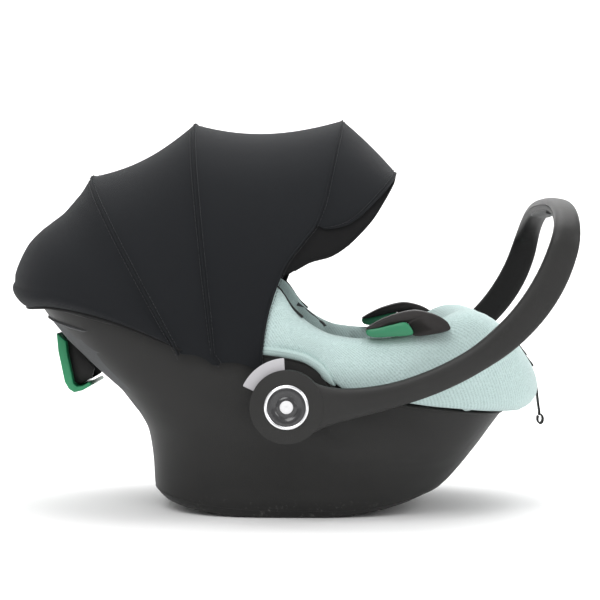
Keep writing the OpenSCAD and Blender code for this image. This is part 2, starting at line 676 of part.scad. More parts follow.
// Harness adjuster in the front of the cover: a plate, a button and the strap that is pulled.
adjuster_x = 291;
adjuster_z = 188;
adjuster_tilt = 52;
plate_t = 3;
adjuster_travel = 2;
module adjuster_frame() {
    place() translate([adjuster_x, 0, adjuster_z]) rotate([0, adjuster_tilt, 0]) children();
}
module adjuster_plate() {
    color("#202022") adjuster_frame() translate([0, 0, 7]) difference() {
        linear_extrude(plate_t) offset(r = 5, $fn = 32) square([30, 36], center = true);
        translate([-4, 0, 0]) cube([18, 26, 10], center = true);
    }
}
module adjuster_button() {
    color("#38383a") adjuster_frame() translate([-4, 0, 7 + adjuster_travel])
        linear_extrude(plate_t) square([18 - 2 * air, 26 - 2 * air], center = true);
}
strap_exit = [lip_x + 1.2, 154];
loop_r = 5.5;
strap_w = 22;
module adjuster_strap() {
    end = strap_exit + [5, -42];
    middle = end + [1, -loop_r];
    color("#141414") place() translate([0, strap_w / 2, 0]) rotate([90, 0, 0]) {
        linear_extrude(strap_w)
            polygon([strap_exit, strap_exit + [2.4, 0], end + [2.2, -0.8], end + [-0.2, -0.8]]);
        linear_extrude(strap_w) difference() {
            translate(middle) circle(r = loop_r, $fn = 40);
            translate(middle) circle(r = loop_r - 2, $fn = 40);
        }
    }
}

outer_shell();
foam_liner();
seat_cover();
newborn_insert();
head_insert();
handle_mount_left();
handle_mount_right();
pivot_pin_left();
pivot_pin_right();
handle_outer_shell();
handle_inner_shell();
handle_grip();
handle_hub_left();
handle_hub_right();
lock_gear_left();
lock_gear_right();
hub_cap_left();
hub_cap_right();
hub_ring_left();
hub_ring_right();
release_button_left();
release_button_right();
canopy_rear_cover();
canopy_mid_panel();
canopy_front_panel();
canopy_brim();
canopy_rear_bow();
canopy_mid_bow();
canopy_front_bow();
belt_hook_left();
belt_hook_right();
hook_pad_left();
hook_pad_right();
rear_belt_guide();
rear_guide_bracket();
rim_strip_left();
rim_strip_right();
shoulder_strap_left();
shoulder_strap_right();
shoulder_pad_left();
shoulder_pad_right();
tongue_left();
tongue_right();
buckle_body();
buckle_button();
crotch_strap();
crotch_pad();
splitter_plate();
adjuster_plate();
adjuster_button();
adjuster_strap();
cover_tag();
base_bars();
shell_screws();
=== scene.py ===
import json
import math

import bmesh
import bpy
import numpy as np
from mathutils import Matrix, Vector


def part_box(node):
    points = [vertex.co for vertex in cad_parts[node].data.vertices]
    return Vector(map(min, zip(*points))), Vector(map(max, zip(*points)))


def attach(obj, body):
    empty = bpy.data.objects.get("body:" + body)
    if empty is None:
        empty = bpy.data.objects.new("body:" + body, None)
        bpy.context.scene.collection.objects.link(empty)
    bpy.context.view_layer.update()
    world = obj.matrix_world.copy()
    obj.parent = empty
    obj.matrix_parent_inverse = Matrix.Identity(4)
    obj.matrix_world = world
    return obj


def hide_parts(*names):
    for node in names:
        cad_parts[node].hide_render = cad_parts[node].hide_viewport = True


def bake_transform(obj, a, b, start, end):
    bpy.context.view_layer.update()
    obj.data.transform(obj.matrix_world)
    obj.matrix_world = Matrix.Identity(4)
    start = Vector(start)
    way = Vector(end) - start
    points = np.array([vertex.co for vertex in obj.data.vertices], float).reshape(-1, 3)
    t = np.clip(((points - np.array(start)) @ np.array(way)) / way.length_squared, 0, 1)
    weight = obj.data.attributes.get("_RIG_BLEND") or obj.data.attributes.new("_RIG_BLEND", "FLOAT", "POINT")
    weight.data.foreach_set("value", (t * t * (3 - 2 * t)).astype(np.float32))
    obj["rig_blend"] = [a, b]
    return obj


# The looks of the infant car seat: plastic shell, swinging handle, folding canopy and padded cover.
# Metres, +X towards the child's feet, +Y to the child's left, +Z up, as in the frame.

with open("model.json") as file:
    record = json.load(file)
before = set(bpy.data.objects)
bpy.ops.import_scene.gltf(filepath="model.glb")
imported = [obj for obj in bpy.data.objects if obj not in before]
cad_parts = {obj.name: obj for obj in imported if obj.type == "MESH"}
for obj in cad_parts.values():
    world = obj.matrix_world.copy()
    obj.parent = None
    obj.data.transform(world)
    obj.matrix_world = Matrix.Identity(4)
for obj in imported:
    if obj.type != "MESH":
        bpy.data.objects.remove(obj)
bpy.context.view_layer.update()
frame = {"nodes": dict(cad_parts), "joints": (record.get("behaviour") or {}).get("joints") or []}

LEFT, RIGHT = 1, -1
SIDES = ((LEFT, "left"), (RIGHT, "right"))
JOINTS = {joint["name"]: joint for joint in frame["joints"]}
HUB = Vector(JOINTS["handle_swing"]["pos_m"])
scene = bpy.context.scene


# ---------- shader maths and finishes ----------

class Wire:
    """A node's output that can stand in a Python expression; each operator adds its Math node."""

    def __init__(self, finish, socket):
        self.finish, self.socket = finish, socket

    def maths(self, operation, first, second=0.0):
        return self.finish.node("ShaderNodeMath", {"operation": operation}, {0: first, 1: second})

    def __add__(self, other):
        return self.maths("ADD", self, other)

    def __radd__(self, other):
        return self.maths("ADD", other, self)

    def __sub__(self, other):
        return self.maths("SUBTRACT", self, other)

    def __rsub__(self, other):
        return self.maths("SUBTRACT", other, self)

    def __mul__(self, other):
        return self.maths("MULTIPLY", self, other)

    def __rmul__(self, other):
        return self.maths("MULTIPLY", other, self)

    def sine(self):
        return self.maths("SINE", self)

    def most(self, other):
        return self.maths("MAXIMUM", self, other)


# Sockets whose names aren't their key's words with capitals
SOCKET_NAMES = {"Specular_IOR_Level": "Specular IOR Level"}
# Places of outputs and inputs on the Texture Coordinate node and on the Mix node set to colour
UV_OUT, OBJECT_OUT = 2, 3
MIX_SHARE, MIX_FIRST, MIX_SECOND, MIX_RESULT = 0, 6, 7, 2


class Finish:
    """A material with one Principled shader; constants sit on the shader's own sockets."""

    def __init__(self, name, roughness, colour=(0.5, 0.5, 0.5), **constants):
        self.material = bpy.data.materials.new(name)
        self.material.use_nodes = True
        self.nodes = self.material.node_tree.nodes
        self.links = self.material.node_tree.links
        self.nodes.clear()
        self.shader = self.nodes.new("ShaderNodeBsdfPrincipled")
        output = self.nodes.new("ShaderNodeOutputMaterial")
        self.links.new(self.shader.outputs[0], output.inputs[0])
        self.shader.inputs["Base Color"].default_value = (*colour, 1)
        self.shader.inputs["Roughness"].default_value = roughness
        for key, value in constants.items():
            label = SOCKET_NAMES.get(key, key.replace("_", " ").title())
            self.shader.inputs[label].default_value = value

    def node(self, kind, settings=None, inputs=None, out=0):
        """Adds a node: its settings come first, then the values or links of its sockets."""
        made = self.nodes.new(kind)
        for key, value in (settings or {}).items():
            setattr(made, key, value)
        for key, value in (inputs or {}).items():
            if isinstance(value, Wire):
                self.links.new(value.socket, made.inputs[key])
            else:
                made.inputs[key].default_value = value
        return Wire(self, made.outputs[out])

    def set(self, socket, wire):
        self.links.new(wire.socket, self.shader.inputs[socket])
        return self

    def place(self, uv=False):
        """Position on the piece's own UV map, or in its Object coordinates."""
        return self.node("ShaderNodeTexCoord", out=UV_OUT if uv else OBJECT_OUT)

    def axes(self, uv=False):
        split = self.node("ShaderNodeSeparateXYZ", inputs={0: self.place(uv)})
        return [Wire(self, split.socket.node.outputs[i]) for i in range(3)]

    def noise(self, scale, detail=2.0, roughness=0.5):
        return self.node("ShaderNodeTexNoise", inputs={
            "Vector": self.place(), "Scale": scale, "Detail": detail, "Roughness": roughness})

    def cells(self, scale):
        return self.node("ShaderNodeTexVoronoi", inputs={"Vector": self.place(), "Scale": scale})

    def ramp(self, wire, low, high):
        """0 below low, 1 above high, with a smooth step between them."""
        return self.node("ShaderNodeMapRange", {"interpolation_type": "SMOOTHSTEP"}, {
            "Value": wire, "From Min": low, "From Max": high, "To Min": 0.0, "To Max": 1.0})

    def blend(self, share, first, second):
        """First colour where share is 0, second colour where it is 1."""
        def full(colour):
            return colour if isinstance(colour, Wire) else (*colour, 1)
        return self.node("ShaderNodeMix", {"data_type": "RGBA"}, {
            MIX_SHARE: share, MIX_FIRST: full(first), MIX_SECOND: full(second)}, MIX_RESULT)

    def relief(self, height, distance, strength=1.0):
        return self.set("Normal", self.node("ShaderNodeBump", inputs={
            "Height": height, "Distance": distance, "Strength": strength}))


def moulded(name, dark, light, roughness, grain=0.00012, scuffed=False, **constants):
    """Moulded plastic: fine spark-eroded grain, cloudy gloss and, low down, rubbed patches."""
    finish = Finish(name, roughness, dark, **constants)
    cloud = finish.noise(scale=9.0, detail=3.0)
    speck = finish.noise(scale=1500.0, detail=1.0)
    colour = finish.blend(finish.ramp(cloud, 0.35, 0.7), dark, light)
    gloss = roughness - 0.05 + 0.12 * cloud + 0.06 * speck
    if scuffed:
        low = 1 - finish.ramp(finish.axes()[2], 0.004, 0.03)
        scuff = finish.ramp(finish.noise(scale=160.0, detail=4.0, roughness=0.7), 0.56, 0.7) * low
        rubbed_colour = (0.16, 0.155, 0.15)
        colour = finish.blend(scuff * 0.35, colour, rubbed_colour)
        gloss = gloss + 0.15 * scuff
    finish.set("Base Color", colour).set("Roughness", gloss)
    return finish.relief(speck + 0.6 * finish.cells(900.0), grain).material


def knitted(name, light, shade, pitch, uv=True):
    """Knit: rows of small loops, darker between them, with soft blotches of wear."""
    depth, darkening = 0.0006, 0.86
    finish = Finish(name, 0.92, light, Sheen_Weight=0.2, Sheen_Roughness=0.45)
    along, across, up = finish.axes(uv)
    wander = (finish.noise(scale=150.0, detail=1.0) - 0.5) * (pitch * 2.6)
    along, across = along + wander, across - wander
    turn = 2 * math.pi / pitch
    if uv:
        loop = (along * turn).sine() * (across * turn).sine()
        height = 0.5 + 0.36 * loop
    else:
        loop = (along * turn).sine() * (across * turn).sine()
        loop = loop + (up * turn).sine() * (across * turn).sine()
        height = 0.5 + 0.25 * loop + 0.25 * (((along + up) * turn).sine())
    thread = finish.noise(scale=1100.0, detail=2.0)
    blotch = finish.ramp(finish.noise(scale=22.0, detail=3.0), 0.3, 0.75)
    tone = finish.ramp(height + 0.25 * thread, 0.2, 0.85)
    colour = finish.blend(tone, shade, light)
    finish.set("Base Color", finish.blend(blotch * 0.25, colour, [c * darkening for c in light]))
    finish.set("Roughness", 0.84 + 0.12 * thread)
    return finish.relief(height + 0.3 * thread, depth, 0.8).material


def woven(name, dark, light, pitch, depth=0.0003, uv=True, sheen=0.25):
    """Plain weave: crossing threads at a fine pitch, with slubs and a soft cloudiness."""
    roughness = 0.78
    brightening = 1.35
    finish = Finish(name, roughness, dark, Sheen_Weight=sheen, Sheen_Roughness=0.4,
        Specular_IOR_Level=0.25)
    along, across, _ = finish.axes(uv)
    turn = 2 * math.pi / pitch
    warp, weft = ((along + across) * turn).sine(), ((along - across) * turn).sine()
    thread = warp.most(weft)
    slub = finish.noise(scale=260.0, detail=3.0)
    cloud = finish.ramp(finish.noise(scale=7.0, detail=3.0), 0.3, 0.7)
    tone = finish.ramp(thread * 0.5 + slub, 0.2, 1.1)
    colour = finish.blend(tone, dark, light)
    finish.set("Base Color", finish.blend(cloud * 0.3, colour, [c * brightening for c in dark]))
    finish.set("Roughness", roughness - 0.04 + 0.1 * slub)
    return finish.relief(thread + 0.5 * slub, depth, 0.7).material


def metal(name, colour, roughness, streak):
    """Drawn or plated metal with fine streaks; streak is about how many there are to a metre."""
    finish = Finish(name, roughness, colour, Metallic=1.0)
    along, across, up = finish.axes()
    stretch = 12.0
    drawn = finish.node("ShaderNodeCombineXYZ", inputs={
        0: along * streak, 1: across * stretch, 2: up * streak})
    lines = finish.node("ShaderNodeTexNoise", inputs={"Vector": drawn, "Scale": 1.0})
    cloud = finish.noise(scale=60.0, detail=3.0)
    finish.set("Roughness", roughness - 0.04 + 0.12 * lines + 0.05 * cloud)
    finish.set("Base Color", finish.blend(cloud * 0.4, colour, [c * 0.85 for c in colour]))
    return finish.relief(lines, 0.00005, 0.5).material


# Colours are linear red, green and blue.
SHELL = moulded("shell_plastic", (0.0115, 0.0113, 0.0109), (0.0150, 0.0148, 0.0142), 0.5,
    scuffed=True, Specular_IOR_Level=0.3)
HANDLE = moulded("handle_plastic", (0.0125, 0.0122, 0.0116), (0.0160, 0.0156, 0.0150), 0.42,
    Specular_IOR_Level=0.35)
HANDLE_INNER = moulded("handle_inner_plastic", (0.0035, 0.0035, 0.0035), (0.0060, 0.0059, 0.0057), 0.5,
    Specular_IOR_Level=0.2)
TRIM = moulded("black_trim", (0.006, 0.006, 0.006), (0.009, 0.0085, 0.0085), 0.4,
    Specular_IOR_Level=0.3)
HOOK = moulded("hook_plastic", (0.011, 0.009, 0.009), (0.016, 0.0135, 0.013), 0.45,
    Specular_IOR_Level=0.35)
GRIP = moulded("grip_rubber", (0.020, 0.020, 0.020), (0.026, 0.026, 0.026), 0.62, grain=0.0003)
BRIGHT_GREEN = moulded("bright_green", (0.016, 0.175, 0.080), (0.026, 0.225, 0.105), 0.4, grain=0.00006)
DEEP_GREEN = moulded("deep_green", (0.016, 0.225, 0.095), (0.026, 0.300, 0.130), 0.38, grain=0.00006)
GREY = moulded("button_grey", (0.430, 0.420, 0.440), (0.480, 0.470, 0.490), 0.45, grain=0.00006)
EMBLEM = moulded("emblem_black", (0.012, 0.012, 0.014), (0.018, 0.018, 0.020), 0.22,
    grain=0.00003, Coat_Weight=0.5)
EMBLEM_LIGHT = moulded("emblem_light", (0.66, 0.66, 0.67), (0.74, 0.74, 0.75), 0.32, grain=0.00004)
RED = moulded("button_red", (0.520, 0.016, 0.012), (0.600, 0.026, 0.020), 0.3, grain=0.00004)
FOAM = moulded("liner_foam", (0.060, 0.062, 0.065), (0.085, 0.088, 0.092), 0.8, grain=0.0006)
STEEL = metal("zinc_steel", (0.56, 0.56, 0.58), 0.34, 900.0)
CHROME = metal("plated_ring", (0.88, 0.88, 0.90), 0.16, 300.0)
MINT = knitted("mint_knit", (0.500, 0.630, 0.615), (0.350, 0.465, 0.452), 0.0037)
# The inserts' knit is the cover's mint made a little darker: painted shade for the hollow where the inserts
# lie.
INSERT_MINT_SHADED = knitted("insert_knit", (0.470, 0.600, 0.585), (0.300, 0.410, 0.400), 0.0040, uv=False)
MINT_EDGE = knitted("piping_knit", (0.480, 0.610, 0.590), (0.360, 0.480, 0.465), 0.0022)
CANOPY = woven("canopy_fabric", (0.0038, 0.0047, 0.0062), (0.0072, 0.0085, 0.0108), 0.0016,
    sheen=0.04)
LINING = woven("canopy_lining", (0.0030, 0.0030, 0.0033), (0.0060, 0.0060, 0.0066), 0.0018,
    sheen=0.02)
WEBBING = woven("harness_webbing", (0.012, 0.012, 0.013), (0.040, 0.040, 0.043), 0.0022,
    depth=0.0005, uv=False)
CORD = woven("strap_black", (0.006, 0.006, 0.006), (0.016, 0.016, 0.016), 0.0020,
    depth=0.0004, uv=False)
THREAD = woven("sewing_thread", (0.008, 0.009, 0.011), (0.016, 0.017, 0.020), 0.0008, uv=False)
THREAD_MINT = woven("mint_thread", (0.380, 0.520, 0.500), (0.520, 0.680, 0.650), 0.0008, uv=False)
TAG = woven("tag_cloth", (0.62, 0.62, 0.62), (0.78, 0.78, 0.78), 0.0010, uv=False)


# ---------- small tools ----------

def smooth_line(points):
    """A smooth line through [x, y] points that never overshoots them."""
    px, py = np.array(points, float).T
    step = np.diff(px)
    rate = np.diff(py) / step
    slope = np.zeros_like(px)
    slope[0], slope[-1] = rate[0], rate[-1]
    same = rate[:-1] * rate[1:] > 0
    first, second = 2 * step[1:] + step[:-1], step[1:] + 2 * step[:-1]
    inner = np.zeros(len(px) - 2)
    inner[same] = ((first + second)[same]
        / (first[same] / rate[:-1][same] + second[same] / rate[1:][same]))
    slope[1:-1] = inner

    def at(x):
        x = np.clip(np.asarray(x, float), px[0], px[-1])
        i = np.clip(np.searchsorted(px, x) - 1, 0, len(step) - 1)
        t = (x - px[i]) / step[i]
        return ((1 + 2 * t) * (1 - t) ** 2 * py[i] + t * (1 - t) ** 2 * step[i] * slope[i]
            + t * t * (3 - 2 * t) * py[i + 1] + t * t * (t - 1) * step[i] * slope[i + 1])

    return at


def mix(a, b, t):
    return a + (b - a) * t


def bump_at(x, centre, width):
    return np.exp(-((np.asarray(x) - centre) / width) ** 2)


def piece(name, points, faces, material, uvs):
    """A new smooth mesh object; uvs holds one pair for each point."""
    mesh = bpy.data.meshes.new(name)
    mesh.from_pydata([tuple(p) for p in points], [], faces)
    mesh.materials.append(material)
    mesh.polygons.foreach_set("use_smooth", [True] * len(mesh.polygons))
    layer = mesh.uv_layers.new(name="cut")
    for loop in mesh.loops:
        layer.data[loop.index].uv = uvs[loop.vertex_index]
    mesh.update()
    obj = bpy.data.objects.new(name, mesh)
    scene.collection.objects.link(obj)
    return obj


def loft(name, rings, material, closed=True, loop=False, body=None):
    """A skin over rings of points, with the UV map in metres along and across it.

    closed joins each ring's ends. loop joins the last ring to the first; closed rings that
    don't loop get a cap on the first and the last ring.
    """
    rings = np.array(rings, float)
    count, n = rings.shape[:2]
    points = rings.reshape(-1, 3)
    around = n if closed else n - 1
    faces = []
    for i in range(count if loop else count - 1):
        k = (i + 1) % count
        for j in range(around):
            m = (j + 1) % n
            faces.append((i * n + j, i * n + m, k * n + m, k * n + j))
    if closed and not loop:
        faces.append(tuple(range(n - 1, -1, -1)))
        faces.append(tuple(range((count - 1) * n, count * n)))
    across = np.linalg.norm(np.diff(rings, axis=1), axis=2).mean(0)
    along = np.linalg.norm(np.diff(rings, axis=0), axis=2).mean(1)
    u = np.concatenate([[0], np.cumsum(across)])
    v = np.concatenate([[0], np.cumsum(along)])
    uvs = [(u[j], v[i]) for i in range(count) for j in range(n)]
    obj = piece(name, points, faces, material, uvs)
    outward(obj)
    if body:
        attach(obj, body)
    return obj


def outward(obj):
    """Turns a shape's faces to one side, which on a closed shape is outwards."""
    work = bmesh.new()
    work.from_mesh(obj.data)
    bmesh.ops.recalc_face_normals(work, faces=work.faces)
    work.to_mesh(obj.data)
    work.free()


def settle(obj, *modifiers):
    """Adds modifiers, given as (kind, settings), and makes their result the object's mesh."""
    for kind, settings in modifiers:
        made = obj.modifiers.new(kind.lower(), kind)
        for key, value in settings.items():
            setattr(made, key, value)
    shaped = bpy.data.meshes.new_from_object(obj.evaluated_get(bpy.context.evaluated_depsgraph_get()))
    obj.modifiers.clear()
    obj.data = shaped
    return obj


def clean_copy(node, name, material, *modifiers):
    """A merged copy of a CAD node that stands for it, with the given modifiers settled."""
    sharp_from = math.radians(38)
    source = frame["nodes"][node]
    mesh = source.data.copy()
    work = bmesh.new()
    work.from_mesh(mesh)
    bmesh.ops.remove_doubles(work, verts=work.verts, dist=1e-5)
    bmesh.ops.dissolve_limit(work, angle_limit=0.01, verts=work.verts, edges=work.edges)
    work.to_mesh(mesh)
    work.free()
    mesh.materials.clear()
    mesh.materials.append(material)
    # Shading marks from the CAD mesh don't fit the merged one
    for layer in list(mesh.attributes):
        if layer.name in ("custom_normal", "sharp_face", "sharp_edge"):
            mesh.attributes.remove(layer)
    obj = bpy.data.objects.new(name, mesh)
    scene.collection.objects.link(obj)
    if modifiers:
        settle(obj, *modifiers)
    obj.data.shade_smooth()
    obj.data.set_sharp_from_angle(angle=sharp_from)
    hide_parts(node)
    return obj


def edged(width, segments=2):
    """The modifier that rounds the edges of hard parts."""
    return ("BEVEL", {"width": width, "segments": segments, "limit_method": "ANGLE",
        "angle_limit": math.radians(30), "harden_normals": False})


def point_places(obj):
    """A mesh's points as rows of x, y and z."""
    return np.array([v.co for v in obj.data.vertices])


def point_normals(obj):
    return np.array([v.normal for v in obj.data.vertices])


def move_points(obj, points):
    obj.data.vertices.foreach_set("co", points.astype(np.float32).ravel())


def swell(obj, pressure, cap):
    """Inflates a soft piece with a short cloth simulation; no point moves further than cap."""
    finer = ("SUBSURF", {"levels": 1, "render_levels": 1})
    last_frame = 20
    start = point_places(obj)
    cloth = obj.modifiers.new("cloth", "CLOTH")
    cloth.settings.quality = 4
    cloth.settings.use_pressure = True
    cloth.settings.uniform_pressure_force = pressure
    cloth.settings.effector_weights.gravity = 0
    cloth.settings.tension_stiffness = 15
    cloth.settings.bending_stiffness = 0.5
    cloth.point_cache.frame_start, cloth.point_cache.frame_end = 1, last_frame
    for number in range(1, last_frame + 1):
        scene.frame_set(number)
    swollen = obj.evaluated_get(bpy.context.evaluated_depsgraph_get()).to_mesh()
    moved = np.array([v.co for v in swollen.vertices]) - start
    obj.modifiers.clear()
    scene.frame_set(1)
    far = np.linalg.norm(moved, axis=1)
    moved *= np.minimum(1, cap / np.maximum(far, 1e-9))[:, None]
    move_points(obj, start + moved)
    return settle(obj, finer)


def tube(name, line, radii, material, closed=False, sides=12, body=None):
    """A round cord along a line of points, with a radius at each point."""
    line = np.array(line, float)
    way = np.gradient(line, axis=0)
    way /= np.linalg.norm(way, axis=1)[:, None]
    across = np.cross(way[0], (0.0, 0.0, 1.0) if abs(way[0][2]) < 0.9 else (1.0, 0.0, 0.0))
    rings = []
    for p, t, r in zip(line, way, np.broadcast_to(radii, len(line))):
        across = across - t * np.dot(across, t)
        across /= np.linalg.norm(across)
        other = np.cross(t, across)
        rings.append([p + r * (math.cos(a) * across + math.sin(a) * other)
            for a in np.linspace(0, 2 * math.pi, sides, endpoint=False)])
    return loft(name, rings, material, loop=closed, body=body)


def turned(name, outline, side, material, steps=72):
    """A piece of the handle turned about the hinge's axis.

    outline holds (radius, distance out from the seat's middle).
    """
    rings = []
    for a in np.linspace(0, 2 * math.pi, steps, endpoint=False):
        c, s = math.cos(a), math.sin(a)
        rings.append([(HUB.x + r * c, side * y, HUB.z + r * s) for r, y in outline])
    return loft(name, rings, material, loop=True, body="handle")


def stitch_tree():
    """Geometry Nodes that lay one stitch after another along a line of points."""
    tree = bpy.data.node_groups.new("stitch_run", "GeometryNodeTree")
    interface = tree.interface
    interface.new_socket("Geometry", in_out="INPUT", socket_type="NodeSocketGeometry")
    for label, value in (("Spacing", 0.005), ("Stitch", 0.0035), ("Thickness", 0.0005)):
        interface.new_socket(label, in_out="INPUT", socket_type="NodeSocketFloat").default_value = value
    interface.new_socket("Material", in_out="INPUT", socket_type="NodeSocketMaterial")
    interface.new_socket("Geometry", in_out="OUTPUT", socket_type="NodeSocketGeometry")

    def node(kind, **inputs):
        made = tree.nodes.new(kind)
        for key, value in inputs.items():
            label = key.replace("_", " ")
            if isinstance(value, bpy.types.NodeSocket):
                tree.links.new(value, made.inputs[label])
            else:
                made.inputs[label].default_value = value
        return made

    entry = tree.nodes.new("NodeGroupInput")
    run = node("GeometryNodeMeshToCurve", Mesh=entry.outputs["Geometry"])
    spaced = tree.nodes.new("GeometryNodeResampleCurve")
    spaced.mode = "LENGTH"
    tree.links.new(run.outputs["Curve"], spaced.inputs["Curve"])
    tree.links.new(entry.outputs["Spacing"], spaced.inputs["Length"])
    tangent = tree.nodes.new("GeometryNodeInputTangent")
    turn = tree.nodes.new("FunctionNodeAlignRotationToVector")
    turn.axis = "Z"
    tree.links.new(tangent.outputs[0], turn.inputs["Vector"])
    thread = node("GeometryNodeMeshCylinder", Vertices=6, Radius=entry.outputs["Thickness"],
        Depth=entry.outputs["Stitch"])
    laid = node("GeometryNodeInstanceOnPoints", Points=spaced.outputs["Curve"],
        Instance=thread.outputs["Mesh"], Rotation=turn.outputs["Rotation"])
    real = node("GeometryNodeRealizeInstances", Geometry=laid.outputs["Instances"])
    dyed = node("GeometryNodeSetMaterial", Geometry=real.outputs["Geometry"],
        Material=entry.outputs["Material"])
    leave = tree.nodes.new("NodeGroupOutput")
    tree.links.new(dyed.outputs["Geometry"], leave.inputs[0])
    return tree


STITCHES = stitch_tree()


def stitched(name, lines, material, spacing=0.005, length=0.0034, thickness=0.0004):
    """Stitches along one or more lines of points, as one mesh."""
    points, edges = [], []
    for line in lines:
        first = len(points)
        points += [tuple(p) for p in line]
        edges += [(i, i + 1) for i in range(first, len(points) - 1)]
    mesh = bpy.data.meshes.new(name)
    mesh.from_pydata(points, edges, [])
    obj = bpy.data.objects.new(name, mesh)
    scene.collection.objects.link(obj)
    made = obj.modifiers.new("stitches", "NODES")
    made.node_group = STITCHES
    wanted = {"Spacing": spacing, "Stitch": length, "Thickness": thickness, "Material": material}
    for item in STITCHES.interface.items_tree:
        if item.in_out == "INPUT" and item.name in wanted:
            made[item.identifier] = wanted[item.name]
    shaped = bpy.data.meshes.new_from_object(obj.evaluated_get(bpy.context.evaluated_depsgraph_get()))
    obj.modifiers.clear()
    obj.data = shaped
    return obj


# ---------- camera, floor and light ----------

def studio():
    """Camera low on the child's right side, pale sweep of paper, even light and four soft lamps."""
    field_of_view = math.radians(19.53)
    standpoint, view_way = (0.0543, -2.22, 0.319), (-0.0212, 1.0, -0.0278)
    sky_strength = 0.70
    camera = bpy.data.objects.new("camera", bpy.data.cameras.new("camera"))
    scene.collection.objects.link(camera)
    camera.data.angle = field_of_view
    camera.data.clip_start = 0.05
    camera.location = standpoint
    camera.rotation_euler = Vector(view_way).to_track_quat("-Z", "Y").to_euler()
    scene.camera = camera

    paper = Finish("studio_paper", 0.9, (0.93, 0.93, 0.93))
    paper.set("Base Color", paper.blend(paper.noise(3.0) * 0.2, (0.95, 0.95, 0.95), (0.93, 0.93, 0.93)))
    # The sweep's line in y and z, drawn across x just under the seat's base
    sweep = [(-3.0, 0.0), (1.6, 0.0), (2.0, 0.06), (2.35, 0.25), (2.6, 0.6), (2.7, 1.2), (2.7, 4.0)]
    rings = [[(x, y, z - 0.0005) for y, z in sweep] for x in (-5, 5)]
    floor = loft("studio_floor", rings, paper.material, closed=False)

    scene.view_settings.view_transform = "Standard"
    world = bpy.data.worlds.new("studio_light")
    world.use_nodes = True
    sky = world.node_tree.nodes["Background"]
    sky.inputs["Color"].default_value = (1, 1, 1, 1)
    sky.inputs["Strength"].default_value = sky_strength
    scene.world = world
    for name, place, aim, width, power in (
            ("key_light", (-0.9, -2.3, 2.5), (0, 0, 0.25), 1.8, 42),
            ("front_light", (2.4, -1.3, 1.5), (0.1, 0, 0.2), 1.4, 17),
            ("top_light", (0.2, 0.2, 2.8), (0, 0, 0.2), 2.2, 40),
            ("backdrop_light", (0, 1.2, 2.2), (0, 2.7, 0.6), 2.4, 46)):
        lamp = bpy.data.objects.new(name, bpy.data.lights.new(name, "AREA"))
        lamp.data.size = width
        lamp.data.energy = power
        lamp.location = place
        lamp.rotation_euler = (Vector(aim) - Vector(place)).to_track_quat("-Z", "Y").to_euler()
        scene.collection.objects.link(lamp)


studio()


# ---------- lines along the seat, as heights over x from the hinge ----------

MM = 0.001
seat_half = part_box("seat_cover")[1].y
# The base rests on a flat stretch and curves up from it on a radius each way
rocker_half = 0.140
rocker_back_radius, rocker_front_radius = 0.600, 0.480
rocker_flat = 0.026
# Shell's rim, cover's crest and bottom of the seat's hollow
rim_height = smooth_line(np.array([[-320, 263], [-250, 247], [-190, 233], [-120, 216], [-45, 202],
    [-10, 198], [18, 192], [38, 180], [54, 161], [80, 150], [120, 142], [250, 124], [310, 118]]) * MM)
crest_height = smooth_line(np.array([[-320, 275], [-300, 281], [-250, 300], [-190, 306],
    [-100, 301], [-45, 289], [-13, 277], [8, 249], [30, 231], [58, 219], [110, 215], [165, 224],
    [205, 237], [228, 239], [245, 234], [261, 224], [287, 195], [303, 176], [312, 160]]) * MM)
seat_height = smooth_line(np.array([[-250, 222], [-180, 160], [-100, 114], [-20, 92], [60, 92],
    [125, 118], [185, 172], [230, 222]]) * MM)


def plan(back, front, half, steps=160):
    """Plan outline of the seat, a superellipse of power 3, as x from the hinge and y."""
    a = np.linspace(0, 2 * math.pi, steps, endpoint=False)
    c, s = np.cos(a), np.sin(a)
    reach = (np.abs(c) ** 3 + np.abs(s) ** 3) ** (-1 / 3)
    return (back + front) / 2 + (front - back) / 2 * c * reach, half * s * reach


# ---------- shell ----------

# Back end, front end and half width over the way up from the rocker, 0, to the rim, 1
shell_back = smooth_line([[0, -0.161], [0.05, -0.171], [0.20, -0.173], [0.38, -0.179],
    [0.42, -0.183], [0.6, -0.218], [0.69, -0.247], [0.82, -0.284], [0.92, -0.306], [1, -0.318]])
shell_front = smooth_line([[0, 0.170], [0.05, 0.194], [0.15, 0.208], [0.385, 0.229], [0.72, 0.251],
    [1, 0.266]])
shell_width = smooth_line([[0, rocker_half], [0.15, mix(rocker_half, seat_half, 0.3)],
    [0.33, mix(rocker_half, seat_half, 0.62)], [0.5, seat_half - 0.003], [0.6, seat_half], [1, seat_half]])


def rocker(x):
    """Height of the base's underside."""
    d = np.maximum(0, np.abs(x) - rocker_flat)
    return d * d / np.where(x < 0, 2 * rocker_back_radius, 2 * rocker_front_radius)


def shell_ring(t, inset, lift=0.0):
    """Ring of the shell's skin, with the long sides dished in a little under the rim."""
    dish_depth = 0.0045
    x, y = plan(shell_back(t) + inset, shell_front(t) - inset, shell_width(t) - inset, 240)
    z = mix(rocker(x), rim_height(x), t) + lift
    inside = np.clip((z - 0.016) / 0.022, 0, 1) * np.clip((rim_height(x) - 0.026 - z) / 0.035, 0, 1)
    along = np.clip((x + 0.118) / 0.05, 0, 1) * np.clip((0.20 - x) / 0.09, 0, 1)
    soft = inside ** 2 * (3 - 2 * inside) * along ** 2 * (3 - 2 * along)
    y = y - np.sign(y) * dish_depth * soft * np.clip((np.abs(y) - 0.09) / 0.04, 0, 1)
    return np.stack([HUB.x + x, y, z], 1)


